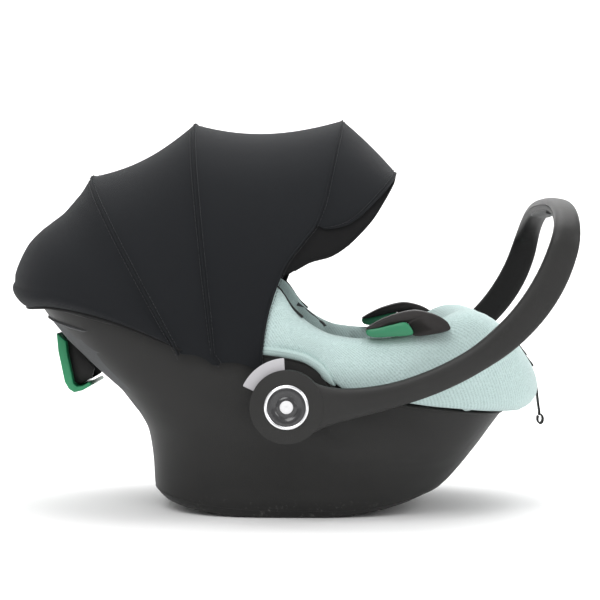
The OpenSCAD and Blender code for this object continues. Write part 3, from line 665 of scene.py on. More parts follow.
def make_shell():
    """The shell's skin with its real wall; the floor is left open inside the base's ring."""
    wall, floor_ring = 0.003, 0.025
    steps = np.concatenate([np.linspace(0, 0.12, 7), np.linspace(0.16, 0.94, 30), [0.97, 1.0]])
    rings = [shell_ring(0, 0.0022), shell_ring(0.004, 0.0006)]
    rings += [shell_ring(t, 0) for t in steps[1:]]
    # Over the rim's rounded edge and down the inside, then back out under the floor
    rings += [shell_ring(1, 0.0008, 0.0009), shell_ring(1, wall - 0.0008, 0.0009), shell_ring(1, wall)]
    rings += [shell_ring(t, wall) for t in steps[-2:4:-2]]
    rings += [shell_ring(0.05, wall), shell_ring(0, wall, wall)]
    rings += [shell_ring(0, floor_ring, wall), shell_ring(0, floor_ring)]
    shell = loft("shell_body", rings, SHELL, loop=True, body="seat")
    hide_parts("outer_shell")
    # Moulded bead just under the rim, and a parting line above the rocker
    for name, t, size in (("shell_rim_bead", 0.985, 0.0016), ("shell_rocker_line", 0.045, 0.0007)):
        bead = tube(name, shell_ring(t, 0.0003), size, SHELL, closed=True, sides=8, body="seat")


make_shell()


def make_liner():
    """The foam liner, drawn in a little so that it stays behind the shell's dished sides."""
    narrowing, hollow_widening, hollow_lowering = 0.045, 0.004, 0.007
    liner = clean_copy("foam_liner", "foam_liner_block", FOAM)
    points = point_places(liner)
    outer = np.clip((np.abs(points[:, 1]) - 0.150) / 0.02, 0, 1)
    outer = outer * np.clip((0.235 - points[:, 2]) / 0.03, 0, 1)
    points[:, 1] *= 1 - narrowing * outer
    # The faces under the cover give way to it
    facing_up = np.array([v.normal.z > 0.05 for v in liner.data.vertices])
    inner = np.clip((0.160 - np.abs(points[:, 1])) / 0.01, 0, 1) * facing_up
    points[:, 1] += np.sign(points[:, 1]) * hollow_widening * inner
    points[:, 2] -= hollow_lowering * inner
    move_points(liner, points)
    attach(liner, "seat")


make_liner()


# ---------- seat cover ----------

lip_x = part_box("seat_cover")[1].x - HUB.x
cover_thick = 0.007
# The cover's rows, up the outside from the rim and down the inside into the hollow:
# (back end, front end, added half width, share of the way from the low line to the crest, lift)
OUTER_ROWS = [[-0.299, lip_x - 0.030, -0.002, -0.04, 0.0026],
    [-0.3015, lip_x - 0.013, -0.0008, 0.02, 0.001], [-0.3035, lip_x - 0.003, 0, 0.24, 0.001],
    [-0.304, lip_x, 0, 0.45, 0], [-0.3025, lip_x + 0.0005, -0.001, 0.66, 0],
    [-0.299, lip_x - 0.002, -0.004, 0.84, 0], [-0.294, lip_x - 0.010, -0.009, 0.95, 0],
    [-0.286, lip_x - 0.024, -0.0155, 1.0, 0]]
INNER_ROWS = [[-0.279, 0.262, -0.023, 0.985, 0], [-0.272, 0.243, -0.031, 0.9, 0],
    [-0.260, 0.226, -0.041, 0.7, 0], [-0.246, 0.212, -0.050, 0.45, 0],
    [-0.232, 0.200, -0.066, 0.2, 0], [-0.215, 0.185, -0.087, 0.04, 0],
    [-0.182, 0.156, -0.104, 0, 0], [-0.150, 0.125, -0.121, 0, 0], [-0.110, 0.090, -0.138, 0, 0],
    [-0.070, 0.050, -0.158, 0, 0], [-0.028, 0.012, -0.182, 0, 0]]
# How far each outer row's underside drops, in cover thicknesses, from the crest down to the rim
UNDERSIDE_DROPS = (1, 1, 0.9, 0.5, 0.2, 0, -0.3, -0.7)


def cover_ring(row, low, inset=0.0, drop=0.0):
    """Points of one row of the cover, over its low line: the rim's or the hollow's height."""
    base, _ = plan(row[0], row[1], seat_half + row[2])
    x, y = plan(row[0] + inset, row[1] - inset, seat_half + row[2] - inset)
    z = mix(low(base), crest_height(base), row[3]) + row[4] - drop
    return np.stack([HUB.x + x, y, z], 1)


def cover_channel(points):
    """Depth of the sewn channels on the inner side walls, as a move outwards from the child."""
    depth, half_width, spacing = 0.0042, 0.0035, 0.0345
    x, y, _ = points.T
    across = sum(bump_at(x - HUB.x, c, half_width) for c in np.arange(-0.236, 0.22, spacing))
    wall = np.clip((np.abs(y) - 0.095) / 0.02, 0, 1) * np.clip((0.176 - np.abs(y)) / 0.006, 0, 1)
    return across * wall * depth


def make_cover():
    """The knitted cover: a closed padded form with sewn channels, a gather and a crowned leg end."""
    pressure, cap = 3.0, 0.0035
    gather_depth, crown_rise = 0.005, 0.024
    rows = [cover_ring(r, seat_height, -0.6 * cover_thick, cover_thick) for r in INNER_ROWS[::-1]]
    rows += [cover_ring(r, rim_height, cover_thick, cover_thick * d)
        for r, d in zip(OUTER_ROWS[::-1], UNDERSIDE_DROPS)]
    rows += [cover_ring(r, rim_height) for r in OUTER_ROWS]
    rows += [cover_ring(r, seat_height) for r in INNER_ROWS]
    cover = loft("seat_cover_knit", rows, MINT)
    swell(cover, pressure, cap)
    points, normals = point_places(cover), point_normals(cover)
    inner = np.clip(-normals[:, 1] * np.sign(points[:, 1]) * 2.5, 0, 1)
    points -= normals * (cover_channel(points) * inner)[:, None]
    # Gather above the belt hooks, where the hump's side seam ends
    x, y, z = (points - np.array([HUB.x, 0, 0])).T
    fold = bump_at(x, 0.196, 0.016) * bump_at(z, 0.219, 0.012)
    fold = fold * np.clip((np.abs(y) - 0.12) / 0.05, 0, 1)
    points[:, 2] -= gather_depth * fold
    # The leg end is crowned over its middle
    crown = bump_at(x, 0.190, 0.042) * np.clip(1 - (y / 0.165) ** 2, 0, 1) ** 0.8
    points[:, 2] += crown_rise * crown * np.clip((z - 0.165) / 0.03, 0, 1)
    move_points(cover, points)
    cover.data.update()
    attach(cover, "seat")
    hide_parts("seat_cover")


make_cover()


def make_cover_edges():
    """On each side, the rolled hem round the handle's hub and a black strip of painted shade in the clip
    slot.
    """
    for side, label in SIDES:
        # Rolled hem that runs over the shell's rim round the handle's hub
        x = np.linspace(-0.050, 0.0565, 40)
        y = np.full_like(x, side * (seat_half - 0.0020))
        line = np.stack([HUB.x + x, y, rim_height(x) + 0.0030], 1)
        ends = np.clip((x + 0.052) / 0.02, 0.25, 1) * np.clip((0.0585 - x) / 0.012, 0.12, 1)
        roll_radius = 0.0056
        roll = tube("hub_roll_" + label, line, roll_radius * ends, MINT_EDGE, sides=20, body="seat")
        seam = [(HUB.x + a, side * (seat_half + 0.0008), rim_height(a) + 0.0118)
            for a in np.linspace(-0.04, 0.052, 40)]
        sewn = stitched("hub_roll_stitches_" + label, [seam], THREAD_MINT,
            spacing=0.0042, length=0.003, thickness=0.00035)
        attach(sewn, "seat")
        # Black strip along the clip slot at the rim: painted shade where the slot's gap lies in shadow
        x = np.linspace(-0.012, 0.018, 16)
        slot_line = [(HUB.x + a, side * (seat_half - 0.014), crest_height(a) + 0.0022) for a in x]
        strip = tube("rim_slot_painted_shade_" + label, slot_line, np.linspace(0.0009, 0.0016, 16), TRIM,
            sides=10, body="seat")
        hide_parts("rim_strip_" + label)


make_cover_edges()


def soft_copy(node, name, material, voxel, cap):
    """A padded piece in the space of its CAD node: remeshed, drawn in and inflated."""
    drawn_in, pressure = 0.001, 4.0
    obj = clean_copy(node, name, material)
    settle(obj, ("REMESH", {"mode": "VOXEL", "voxel_size": voxel}),
        ("SMOOTH", {"factor": 0.5, "iterations": 6}))
    move_points(obj, point_places(obj) - point_normals(obj) * drawn_in)
    swell(obj, pressure, cap)
    obj.data.shade_smooth()
    return obj


def make_inserts():
    """The padded inserts; the newborn and head inserts get their sewn seams."""
    seam_width, cross_seam_depth, seam_depth = 0.003, 0.003, 0.004
    for node, voxel, cap, fill in (
            ("newborn_insert", 0.005, 0.006, 0.6), ("head_insert", 0.005, 0.006, 0.7),
            ("crotch_pad", 0.004, 0.005, 0.7), ("shoulder_pad_left", 0.004, 0.005, 0.6),
            ("shoulder_pad_right", 0.004, 0.005, 0.6)):
        # The inserts take the darker mint knit, which paints the shade of the seat's hollow.
        pad = soft_copy(node, node + "_knit", INSERT_MINT_SHADED, voxel, cap)
        points, normals = point_places(pad), point_normals(pad)
        if node == "newborn_insert":
            middle = bump_at(points[:, 1], 0, seam_width) * seam_depth + sum(
                bump_at(points[:, 0] - HUB.x, c, seam_width) * cross_seam_depth
                for c in (-0.045, 0.0, 0.045))
            points -= normals * (middle * np.clip(normals[:, 2], 0, 1))[:, None]
        if node == "head_insert":
            turn = np.arctan2(points[:, 1], points[:, 0] - HUB.x + 0.142)
            seams = sum(bump_at(turn, a, 0.035) for a in (-2.3, 2.3))
            points -= normals * (seams * seam_depth)[:, None]
        move_points(pad, points)
        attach(pad, "seat")


make_inserts()


# ---------- handle ----------

arm_in, arm_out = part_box("handle_hub_left")[0].y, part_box("handle_hub_left")[1].y
arm_mid, arm_half = (arm_in + arm_out) / 2, (arm_out - arm_in) / 2
bar_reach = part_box("handle_outer_shell")[1].x - HUB.x - 0.017
bar_rise = bar_reach * 0.6953
# The arm's middle line in x and z from the hinge, a cubic curve; s is the share along it
SIDE_CURVE = np.array([(0, 0), (0.138, -0.006), (bar_reach - 0.0105, bar_rise - 0.167),
    (bar_reach - 0.003, bar_rise + 0.008)])
corner_from = 0.88  # share at which the arm turns into the cross bar
corner_power = 0.75
arm_height = smooth_line([[0, 0.078], [0.055, 0.066], [0.105, 0.047], [0.16, 0.0370],
    [0.24, 0.0305], [0.31, 0.0280], [0.5, 0.0288], [0.62, 0.0335], [0.78, 0.0362], [0.88, 0.0345],
    [0.96, 0.029], [1, 0.027]])


def side_point(s):
    weights = np.array([(1 - s) ** 3, 3 * s * (1 - s) ** 2, 3 * s * s * (1 - s), s ** 3])
    return weights @ SIDE_CURVE


def bow_stations():
    """(share of the side curve, y) from the right hub over the cross bar to the left hub."""
    arm_shares = np.concatenate([np.linspace(0.0, 0.2, 14), np.linspace(0.22, corner_from, 34)])
    half = [(s, -arm_mid) for s in arm_shares]
    for a in np.radians(np.concatenate([np.linspace(2, 20, 8), np.linspace(24, 90, 24)])):
        along, across = math.sin(a) ** corner_power, max(0, math.cos(a)) ** corner_power
        half.append((mix(corner_from, 1, along), -arm_mid * across))
    half[-1] = (1.0, 0.0)
    return half + [(s, -y) for s, y in half[-2::-1]]


STATIONS = bow_stations()
BOW_LINE = np.array([(HUB.x + side_point(s)[0], y, HUB.z + side_point(s)[1]) for s, y in STATIONS])
BOW_WAY = np.gradient(BOW_LINE, axis=0)
BOW_WAY /= np.linalg.norm(BOW_WAY, axis=1)[:, None]


def bow_frame(i):
    """Middle, outward direction in the side view, and the direction towards the inner face."""
    s = STATIONS[i][0]
    ahead, behind = side_point(min(1, s + 0.004)), side_point(max(0, s - 0.004))
    way = (ahead - behind) / np.linalg.norm(ahead - behind)
    out = np.array([way[1], 0, -way[0]])
    return BOW_LINE[i], out, np.cross(BOW_WAY[i], out)


def outer_section(a, s):
    """Outer half of the bow's section, with a soft crease a third of the way down."""
    h = math.copysign(abs(math.cos(a)) ** 0.62, math.cos(a))
    crease = -0.34
    fall = 0.13 * abs(h - crease) / (1 + abs(crease)) + 0.03 * min(1, abs(h - crease) / 0.07)
    return h, abs(math.sin(a)) ** 0.5 * (1 - fall * min(1, s * 4))


def inner_section(a):
    """Inner half of the bow's section, a little hollow."""
    h = math.copysign(abs(math.cos(a)) ** 0.7, math.cos(a))
    return h, abs(math.sin(a)) ** 0.6 * (1 - 0.10 * (1 - h * h))


def make_bow():
    """The handle's two mouldings, which meet at a fine seam."""
    seam, clearance = 0.00035, 0.0004
    outside, inside = [], []
    for i, (s, _) in enumerate(STATIONS):
        middle, out, deep = bow_frame(i)
        half = arm_height(s) / 2
        angles = np.linspace(0, math.pi, 27)
        outside.append([middle + out * half * h - deep * (seam + d * (arm_half - clearance - seam))
            for h, d in (outer_section(a, s) for a in angles)])
        inside.append([middle + out * half * h + deep * (seam + d * (arm_half - clearance - seam))
            for h, d in (inner_section(a) for a in angles)])
    for name, rings, node, material in (("handle_outside", outside, "handle_outer_shell", HANDLE),
            ("handle_inside", inside, "handle_inner_shell", HANDLE_INNER)):
        shell = loft(name, rings, material, body="handle")
        shell.data.set_sharp_from_angle(angle=math.radians(50))
        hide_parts(node)


make_bow()


def make_grip():
    """The finely ribbed soft grip on the inner side of the cross bar."""
    thick, rib_height, depth = 0.0026, 0.0004, 0.004
    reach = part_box("handle_grip")[1].y
    span = [i for i, (_, y) in enumerate(STATIONS) if abs(y) <= reach]
    rings = []
    for n, i in enumerate(span):
        middle, out, deep = bow_frame(i)
        half = arm_height(1.0) / 2
        ends = min(1, 0.25 + min(n, len(span) - 1 - n) / 2)
        rib = rib_height * math.cos(n * math.pi)
        ring = []
        for a in np.linspace(-1, 1, 19):
            proud = (thick + rib) * ends * (1 - a ** 4)
            ring.append(middle + out * half * 0.93 * a + deep * (arm_half + proud))
        for a in np.linspace(1, -1, 9):
            ring.append(middle + out * half * 0.9 * a + deep * (arm_half - depth))
        rings.append(ring)
    grip = loft("handle_grip_pad", rings, GRIP, body="handle")
    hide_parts("handle_grip")


make_grip()


def make_hubs():
    """The hub discs, each with a plain round emblem."""
    for side, label in SIDES:
        hub = clean_copy("handle_hub_" + label, "hub_disc_" + label, HANDLE, edged(0.0022, 3))
        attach(hub, "handle")
        # Emblem: a plated ring round a dished dark disc with a plain raised stud
        ring = turned("emblem_ring_" + label, [(0.0220, arm_out + 0.0001), (0.0220, arm_out + 0.0014),
            (0.0227, arm_out + 0.0024), (0.0240, arm_out + 0.0028), (0.0253, arm_out + 0.0024),
            (0.0260, arm_out + 0.0014), (0.0260, arm_out + 0.0001)], side, CHROME)
        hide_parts("hub_ring_" + label)
        disc = turned("emblem_disc_" + label, [(0.0001, arm_out + 0.0001), (0.0001, arm_out + 0.0008),
            (0.008, arm_out + 0.0008), (0.0115, arm_out + 0.0010), (0.0118, arm_out + 0.0004),
            (0.0128, arm_out + 0.0004), (0.0131, arm_out + 0.0011), (0.018, arm_out + 0.0015),
            (0.0213, arm_out + 0.0019), (0.0219, arm_out + 0.0016), (0.0219, arm_out + 0.0001)],
            side, EMBLEM)
        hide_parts("hub_cap_" + label)
        stud = turned("emblem_stud_" + label, [(0.0001, arm_out + 0.0002), (0.0001, arm_out + 0.0022),
            (0.004, arm_out + 0.0021), (0.0066, arm_out + 0.0017), (0.0076, arm_out + 0.0010),
            (0.0078, arm_out + 0.0002)], side, EMBLEM_LIGHT)


make_hubs()


def make_buttons():
    """Release tabs behind the hubs' edges, with rounded edges of their own."""
    for _, label in SIDES:
        node = "release_button_" + label
        tab = clean_copy(node, "release_tab_" + label, GREY, edged(0.0014, 3))
        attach(tab, node)


make_buttons()


# ---------- canopy ----------

# Top radii of the three hoops' seams from the hinge, and half widths
front_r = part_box("canopy_front_panel")[1].z - HUB.z
mid_r = front_r + 0.010
rear_r = front_r + 0.020
back_r = 0.3730  # radius of the edge where the rear cover turns down to its hem
front_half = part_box("canopy_front_panel")[1].y
mid_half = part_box("canopy_mid_panel")[1].y
rear_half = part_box("canopy_rear_cover")[1].y
ARCH_POWER = 2 / 3.2  # squareness of the arches over the seat
FAN_POINT = np.array([-0.076, -0.031])  # where the canopy's seams would meet, from the hinge


def seam_line(top_r, top_angle, low_r):
    """Angle over radius of a seam that runs straight from the bow's top to the fan point."""
    top = top_r * np.array([math.cos(math.radians(top_angle)), math.sin(math.radians(top_angle))])
    share = np.linspace(0, 0.93, 60)
    points = top + share[:, None] * (FAN_POINT - top)
    r = np.linalg.norm(points, axis=1)
    angle = np.degrees(np.arctan2(points[:, 1], points[:, 0]))
    keep = np.concatenate([[True], np.diff(r) < 0])
    line = smooth_line(np.stack([r[keep], angle[keep]], 1)[::-1])
    return lambda r: line(np.maximum(r, low_r))


# The seams as angles, in degrees up from straight ahead, over the radius from the hinge
FRONT_LINE = smooth_line([[0.046, 128], [0.082, 110], [0.140, 95], [0.162, 91], [0.189, 85],
    [0.214, 81], [0.25, 79.6], [0.40, 79.2]])
MID_LINE = seam_line(mid_r, 109.3, 0.100)
REAR_LINE = seam_line(rear_r, 132.1, 0.139)
HEM_LINE = smooth_line([[0.13, 152.0], [0.241, 155.5], [0.306, 158.6], [0.350, 161.4], [0.40, 161.7]])
# How far the rear cover is drawn in, over the way from its hoop to its back edge
REAR_SAG = smooth_line([[0, 0], [0.16, 0.0064], [0.32, 0.0074], [0.47, 0.0025], [0.58, -0.0026],
    [0.72, -0.0062], [0.93, -0.0040], [1, 0]])


def arch_grid(v_lines, columns=72):
    """Rows of canopy points, from (angle over radius, top radius, lowest radius, half width, sag)."""
    rows = []
    for angle_of, top, low, half, sag in v_lines:
        start = math.asin((low / top) ** (1 / ARCH_POWER))
        a = np.linspace(start, math.pi - start, columns)
        rise = np.sin(a) ** ARCH_POWER
        side = np.sign(np.cos(a)) * np.abs(np.cos(a)) ** ARCH_POWER
        over = np.clip(rise * 1.6 - 0.55, 0, 1)
        r = top * rise - sag * over
        y = -half * side + np.sign(side) * 0.12 * sag * np.clip((r - 0.09) / 0.1, 0, 1) * np.abs(side)
        angle = np.radians(angle_of(r))
        rows.append(np.stack([HUB.x + r * np.cos(angle), y, HUB.z + r * np.sin(angle)], 1))
    return rows


def between(first, second, t):
    """The line a share t of the way from one seam line to another."""
    return lambda r: mix(first(r), second(r), t)


def panel_rows(first, second, steps, sag, drop=0.0):
    """Rows between two seams, for arch_grid, with the fabric drawn in between them.

    sag is the depth halfway, or a function of the way across. drop lets the sides of the
    rows halfway reach lower than the seams do.
    """
    rows = []
    for t in np.linspace(0, 1, steps):
        line = between(first[0], second[0], t)
        top, low, half = (mix(first[i], second[i], t) for i in (1, 2, 3))
        low = max(low - drop * 4 * t * (1 - t), 0.04)
        rows.append((line, top, low, half, float(sag(t)) if callable(sag) else sag * 4 * t * (1 - t)))
    return rows


def fabric_piece(name, rows):
    """A fabric skin from rows, given a thickness inwards; the inside has the lining's finish."""
    thickness, sharp_from = 0.0011, math.radians(60)
    skin = loft(name, rows, CANOPY, closed=False)
    skin.data.materials.append(LINING)
    centre = Vector((HUB.x - 0.1, 0, HUB.z + 0.05))
    total = sum((f.center - centre).dot(f.normal) for f in skin.data.polygons)
    if total < 0:
        skin.data.flip_normals()
    settle(skin, ("SOLIDIFY", {"thickness": thickness, "offset": -1.0, "material_offset": 1,
        "material_offset_rim": 0}))
    skin.data.shade_smooth()
    skin.data.set_sharp_from_angle(angle=sharp_from)
    return skin


# Seams from front to back: (seam line, top radius, lowest radius, half width). The two named IN
# lie just inside their neighbours, where one cloth goes under the next
FRONT_SEAM = (FRONT_LINE, front_r, 0.046, front_half)
MID_SEAM_IN = (MID_LINE, mid_r - 0.0006, 0.094, mid_half - 0.0007)
MID_SEAM = (MID_LINE, mid_r, 0.092, mid_half)
REAR_SEAM_IN = (REAR_LINE, rear_r - 0.0006, 0.141, rear_half - 0.0007)
REAR_SEAM = (REAR_LINE, rear_r, 0.139, rear_half)
BACK_SEAM = (between(REAR_LINE, HEM_LINE, 0.86), back_r, 0.139, rear_half)
HEM_SEAM = (HEM_LINE, back_r - 0.026, 0.137, rear_half - 0.003)


def point_of(seam):
    """The seam's top, in the middle of the seat."""
    r = seam[1]
    a = math.radians(float(seam[0](r)))
    return (HUB.x + r * math.cos(a), 0, HUB.z + r * math.sin(a))


def seam_points(seam, columns=120, proud=0.0):
    """Line of points over a seam, lifted proud of the fabric."""
    line, top, low, half = seam
    return arch_grid([(line, top + proud, low, half + proud, 0)], columns)[0]


def shifted(seam, degrees):
    """Line beside a seam; degrees is the shift at 0.35 m out, and its distance stays the same."""
    line, top, low, half = seam
    beside = (lambda r: line(r) + degrees * 0.35 / np.maximum(r, 0.12), top, low, half)
    return seam_points(beside, proud=0.0004)


# Thread of the canopy's stitches
CANOPY_STITCH = {"spacing": 0.0046, "length": 0.0032, "thickness": 0.00032}


def make_canopy():
    """Front and middle cloths, which fold between their hoops, and the rear cover."""
    crossings = {
        "canopy_front_cloth": (panel_rows(FRONT_SEAM, MID_SEAM_IN, 19, sag=0.0255, drop=0.008),
            "canopy_mid", "canopy_front", point_of(MID_SEAM), point_of(FRONT_SEAM),
            "canopy_front_panel"),
        "canopy_mid_cloth": (panel_rows(MID_SEAM, REAR_SEAM_IN, 15, sag=0.0170, drop=0.014),
            "seat", "canopy_mid", point_of(REAR_SEAM), point_of(MID_SEAM), "canopy_mid_panel")}
    for name, (rows, body, moving, start, end, node) in crossings.items():
        cloth = fabric_piece(name, arch_grid(rows))
        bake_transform(cloth, body, moving, start, end)
        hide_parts(node)
    rear = panel_rows(REAR_SEAM, BACK_SEAM, 21, REAR_SAG)
    rear += panel_rows(BACK_SEAM, HEM_SEAM, 9, sag=-0.009)[1:]
    cloth = fabric_piece("canopy_rear_cloth", arch_grid(rear))
    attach(cloth, "seat")
    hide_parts("canopy_rear_cover")


make_canopy()


def make_canopy_edges():
    """Piping, stitches and hoops along the seams, and the binding of the hem."""
    # Piping over the hoops with rows of stitches beside it; the front one has a row on one side
    for name, seam, body in (("canopy_front_piping", FRONT_SEAM, "canopy_front"),
            ("canopy_mid_piping", MID_SEAM, "canopy_mid"), ("canopy_rear_piping", REAR_SEAM, "seat")):
        piping = tube(name, seam_points(seam, proud=0.0001), 0.0011, CANOPY, sides=8, body=body)
        sides = (-0.55,) if seam is FRONT_SEAM else (-0.6, 0.6)
        rows = [shifted(seam, d) for d in sides]
        sewn = stitched(name + "_stitches", rows, THREAD, **CANOPY_STITCH)
        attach(sewn, body)
    # Springy hoops sewn in under the seams
    for name, seam, body in (("front", FRONT_SEAM, "canopy_front"), ("mid", MID_SEAM, "canopy_mid"),
            ("rear", REAR_SEAM, "seat")):
        line, top, low, half = seam
        route = arch_grid([(line, top - 0.0032, max(low, 0.05), half - 0.0026, 0)], 150)[0]
        hoop = tube("canopy_hoop_" + name, route, 0.0014, TRIM, sides=10, body=body)
        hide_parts("canopy_" + name + "_bow")
    hem_line = seam_points(HEM_SEAM, proud=0.0002)
    hem = tube("canopy_hem_binding", hem_line, 0.0021, LINING, sides=8, body="seat")


make_canopy_edges()


# The brim's free edge, as a radius and an angle, over the radius where its line leaves the front
# seam, and the share of the way there that the outer cloth covers
BRIM_REACH = smooth_line([[0.150, 0.152], [0.162, 0.170], [0.189, 0.184], [0.214, 0.208], [0.260, 0.250],
    [0.310, 0.290], [0.349, 0.3065]])
BRIM_ANGLE = smooth_line([[0.150, 92], [0.162, 82], [0.189, 73.6], [0.214, 68.4], [0.260, 65.0],
    [0.310, 64.3], [0.349, 64.7]])
CLOTH_SHARE = smooth_line([[0.212, 0.18], [0.218, 0.42], [0.230, 0.66], [0.260, 0.83],
    [0.310, 0.97], [0.349, 1]])


def brim_rows(low_r, inset=0.0, share=None, steps=11):
    """Rows of the brim from the front seam to its free edge, or to a share of the way there."""
    top, half = front_r - inset, front_half - inset
    start = math.asin((low_r / top) ** (1 / ARCH_POWER))
    a = np.linspace(start, math.pi - start, 110)
    r = top * np.sin(a) ** ARCH_POWER
    y = -half * np.sign(np.cos(a)) * np.abs(np.cos(a)) ** ARCH_POWER
    way = 1.0 if share is None else share(r)
    rows = []
    for t in np.linspace(0, 1, steps):
        t = t * way
        radius = mix(r, BRIM_REACH(r) - inset, t) - 0.0015 * np.sin(math.pi * t)
        angle = np.radians(mix(FRONT_LINE(r), BRIM_ANGLE(r), t))
        across = y * (1 - 0.010 * t)
        rows.append(np.stack([HUB.x + radius * np.cos(angle), across, HUB.z + radius * np.sin(angle)], 1))
    return rows


def make_brim():
    """The brim's outer cloth and its longer lining, with bound edges and a row of stitches."""
    for name, low, inset, share, material in (("brim_cloth", 0.213, 0.0, CLOTH_SHARE, CANOPY),
            ("brim_lining", 0.152, 0.0026, None, LINING)):
        rows = brim_rows(low, inset, share)
        cloth = fabric_piece(name, rows)
        cloth.data.materials[0] = material
        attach(cloth, "canopy_front")
        if name == "brim_cloth":
            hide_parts("canopy_brim")
        binding = tube(name + "_binding", rows[-1], 0.0013, material, sides=8, body="canopy_front")
    edge = brim_rows(0.218, -0.0006, lambda r: CLOTH_SHARE(r) - 0.05)[-1]
    sewn = stitched("brim_stitches", [edge], THREAD, **CANOPY_STITCH)
    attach(sewn, "canopy_front")


make_brim()


# ---------- belt guides, harness and small parts ----------

def rounded_outline(points, steps=6):
    """Closed smooth outline through corner points."""
    points = np.array(points, float)
    n = len(points)
    made = []
    for i in range(n):
        a, b, c, d = (points[(i + k) % n] for k in (-1, 0, 1, 2))
        for t in np.linspace(0, 1, steps, endpoint=False):
            made.append(0.5 * (2 * b + (c - a) * t + (2 * a - 5 * b + 4 * c - d) * t * t
                + (3 * b - a - 3 * c + d) * t ** 3))
    return made


def slab(name, outline, y_from, y_to, material, edge=0.0015, body="seat"):
    """An outline in x and z, from the hinge's x, made solid across the seat with soft edges."""
    middle = np.mean(outline, axis=0)
    rings = []
    for y, pull in ((y_from, 2.2 * edge), (y_from + 0.35 * edge, 0.9 * edge), (y_from + edge, 0),
            (y_to - edge, 0), (y_to - 0.35 * edge, 0.9 * edge), (y_to, 2.2 * edge)):
        ring = []
        for p in outline:
            d = np.asarray(p) - middle
            far = np.linalg.norm(d)
            ring.append((HUB.x + p[0] - d[0] / far * pull, y, p[1] - d[1] / far * pull * 0.5))
        rings.append(ring)
    return loft(name, rings, material, body=body)


def make_guides():
    """The lap belt's hooks with their green pads, and the green shoulder belt guide on its cheeks."""
    # Outlines in x from the hinge and z; hook and green run through their points, cheek is straight
    hook = np.array([[92, 228], [104, 236], [122, 244], [146, 250], [164, 248], [180, 242], [189, 234],
        [187, 226], [150, 220], [146, 230], [139, 237], [122, 234], [106, 230]]) * MM
    green = np.array([[93, 227], [106, 229.5], [122, 233.4], [137, 236.4], [144, 231], [147, 223],
        [139, 220.5], [122, 219.5], [104, 218.5], [94, 221]]) * MM
    cheek = np.array([[-274, 156], [-279, 194], [-280, 208], [-274, 208], [-259, 190], [-246, 173],
        [-249, 161], [-262, 153]]) * MM
    for side, label in SIDES:
        low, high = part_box("belt_hook_" + label)
        body = slab("belt_hook_arm_" + label, rounded_outline(hook), low.y, high.y, HOOK)
        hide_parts("belt_hook_" + label)
        low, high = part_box("hook_pad_" + label)
        pad = slab("belt_hook_green_" + label, rounded_outline(green), low.y, high.y, BRIGHT_GREEN)
        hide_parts("hook_pad_" + label)
    guide = clean_copy("rear_belt_guide", "shoulder_belt_guide", DEEP_GREEN, edged(0.0012, 3))
    guide.data.transform(Matrix.Translation((0.002, 0, 0)))
    for side, label in SIDES:
        y = sorted((side * 0.040, side * 0.045))
        plate = slab("guide_cheek_" + label, [tuple(p) for p in cheek], y[0], y[1], TRIM, edge=0.0006)
        if side == LEFT:
            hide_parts("rear_guide_bracket")
    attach(guide, "seat")


make_guides()


def make_fittings():
    """Hinge mounts, buckle, tongues and harness adjuster, each a finished copy of its CAD node."""
    moving = {"buckle_button": "buckle_button", "adjuster_button": "adjuster_button"}
    # The adjuster sits this much further back and lower than its CAD nodes
    adjuster_shift = Matrix.Translation((-0.0045, 0, -0.0030))
    for node, name, material, slot_name in (
            ("handle_mount_left", "hinge_mount_left", TRIM, "black_plastic"),
            ("handle_mount_right", "hinge_mount_right", TRIM, "black_plastic"),
            ("buckle_body", "buckle_case", HOOK, "black_plastic"),
            ("buckle_button", "buckle_push", RED, "red_plastic"),
            ("adjuster_plate", "adjuster_surround", TRIM, "black_plastic"),
            ("adjuster_button", "adjuster_push", HOOK, "dark_plastic"),
            ("tongue_left", "tongue_plate_left", STEEL, "dark_plastic"),
            ("tongue_right", "tongue_plate_right", STEEL, "dark_plastic")):
        part = clean_copy(node, name, material, edged(0.0008, 2))
        if node.startswith("adjuster"):
            part.data.transform(adjuster_shift)
        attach(part, moving.get(node, "seat"))


make_fittings()


def make_harness():
    for node in ("shoulder_strap_left", "shoulder_strap_right", "crotch_strap"):
        strap = clean_copy(node, node + "_webbing", WEBBING, edged(0.0004, 2))
        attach(strap, "seat")


make_harness()


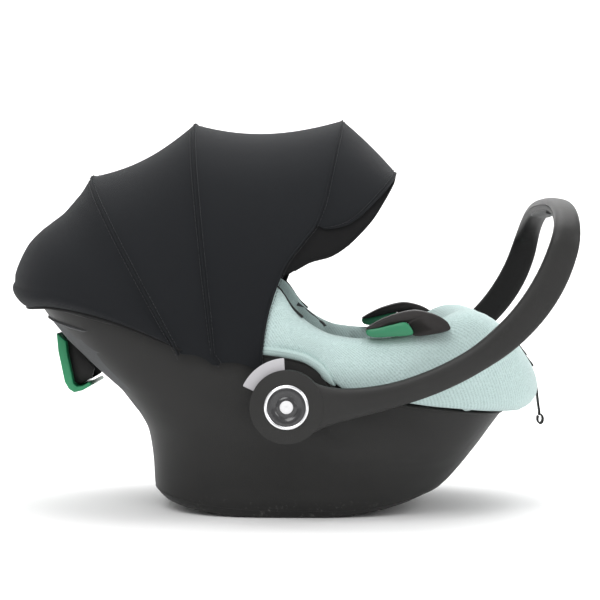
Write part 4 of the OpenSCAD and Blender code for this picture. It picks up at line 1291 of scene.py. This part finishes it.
def make_pull_strap():
    """The adjuster's pull strap, which hangs from the cover's lip and ends in a sewn loop."""
    low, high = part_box("adjuster_strap")
    half, thick = 0.0075, 0.0011
    drop = high.z - low.z
    loop_r = 0.0042
    # x and z from the strap's top: the hanging part, then the loop
    path = [(0.0, 0.0), (0.0016, -0.25 * drop), (0.0030, -0.5 * drop), (0.0048, -drop + 3.4 * loop_r)]
    centre = (0.0058, -drop + loop_r + 0.0012)
    turn = [(centre[0] + loop_r * math.cos(a) * 0.8, centre[1] + loop_r * 1.35 * math.sin(a))
        for a in np.radians(np.linspace(115, -225, 22))]
    line = np.array(path + turn)
    way = np.gradient(line, axis=0)
    way /= np.linalg.norm(way, axis=1)[:, None]
    across = np.stack([way[:, 1], -way[:, 0]], 1)
    # The webbing's section with thinner edges: y, and the share of its half thickness
    section = ((-half, -0.6), (-half, 0.6), (-half * 0.8, 1), (half * 0.8, 1), (half, 0.6),
        (half, -0.6), (half * 0.8, -1), (-half * 0.8, -1))
    rings = []
    for p, n in zip(line, across):
        rings.append([(low.x + 0.0005 + p[0] + n[0] * k * thick, y, high.z + p[1] + n[1] * k * thick)
            for y, k in section])
    strap = loft("adjuster_pull_strap", rings, CORD, body="seat")
    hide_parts("adjuster_strap")


make_pull_strap()


def make_tag():
    """The cover's blank folded tag."""
    low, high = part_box("cover_tag")
    middle = mix(low.x, high.x, 0.5)
    fold = ((-0.0016, -0.002), (-0.0014, 0.0042), (-0.0004, 0.0054), (0.0006, 0.0042), (0.0008, -0.002))
    rings = [[(middle + dx, y, low.z + dz) for dx, dz in fold] for y in np.linspace(low.y, high.y, 8)]
    tag = loft("cover_tag_fold", rings, TAG, body="seat")
    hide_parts("cover_tag")


make_tag()


# ---------- CAD nodes that stay as they are, with a finish ----------

PLAIN = {"lock_gear_left": STEEL, "lock_gear_right": STEEL, "pivot_pin_left": STEEL,
    "pivot_pin_right": STEEL, "splitter_plate": STEEL, "base_bars": STEEL, "shell_screws": STEEL}
for node_name, node_finish in PLAIN.items():
    node_mesh = frame["nodes"][node_name].data
    node_mesh.materials.clear()
    node_mesh.materials.append(node_finish)
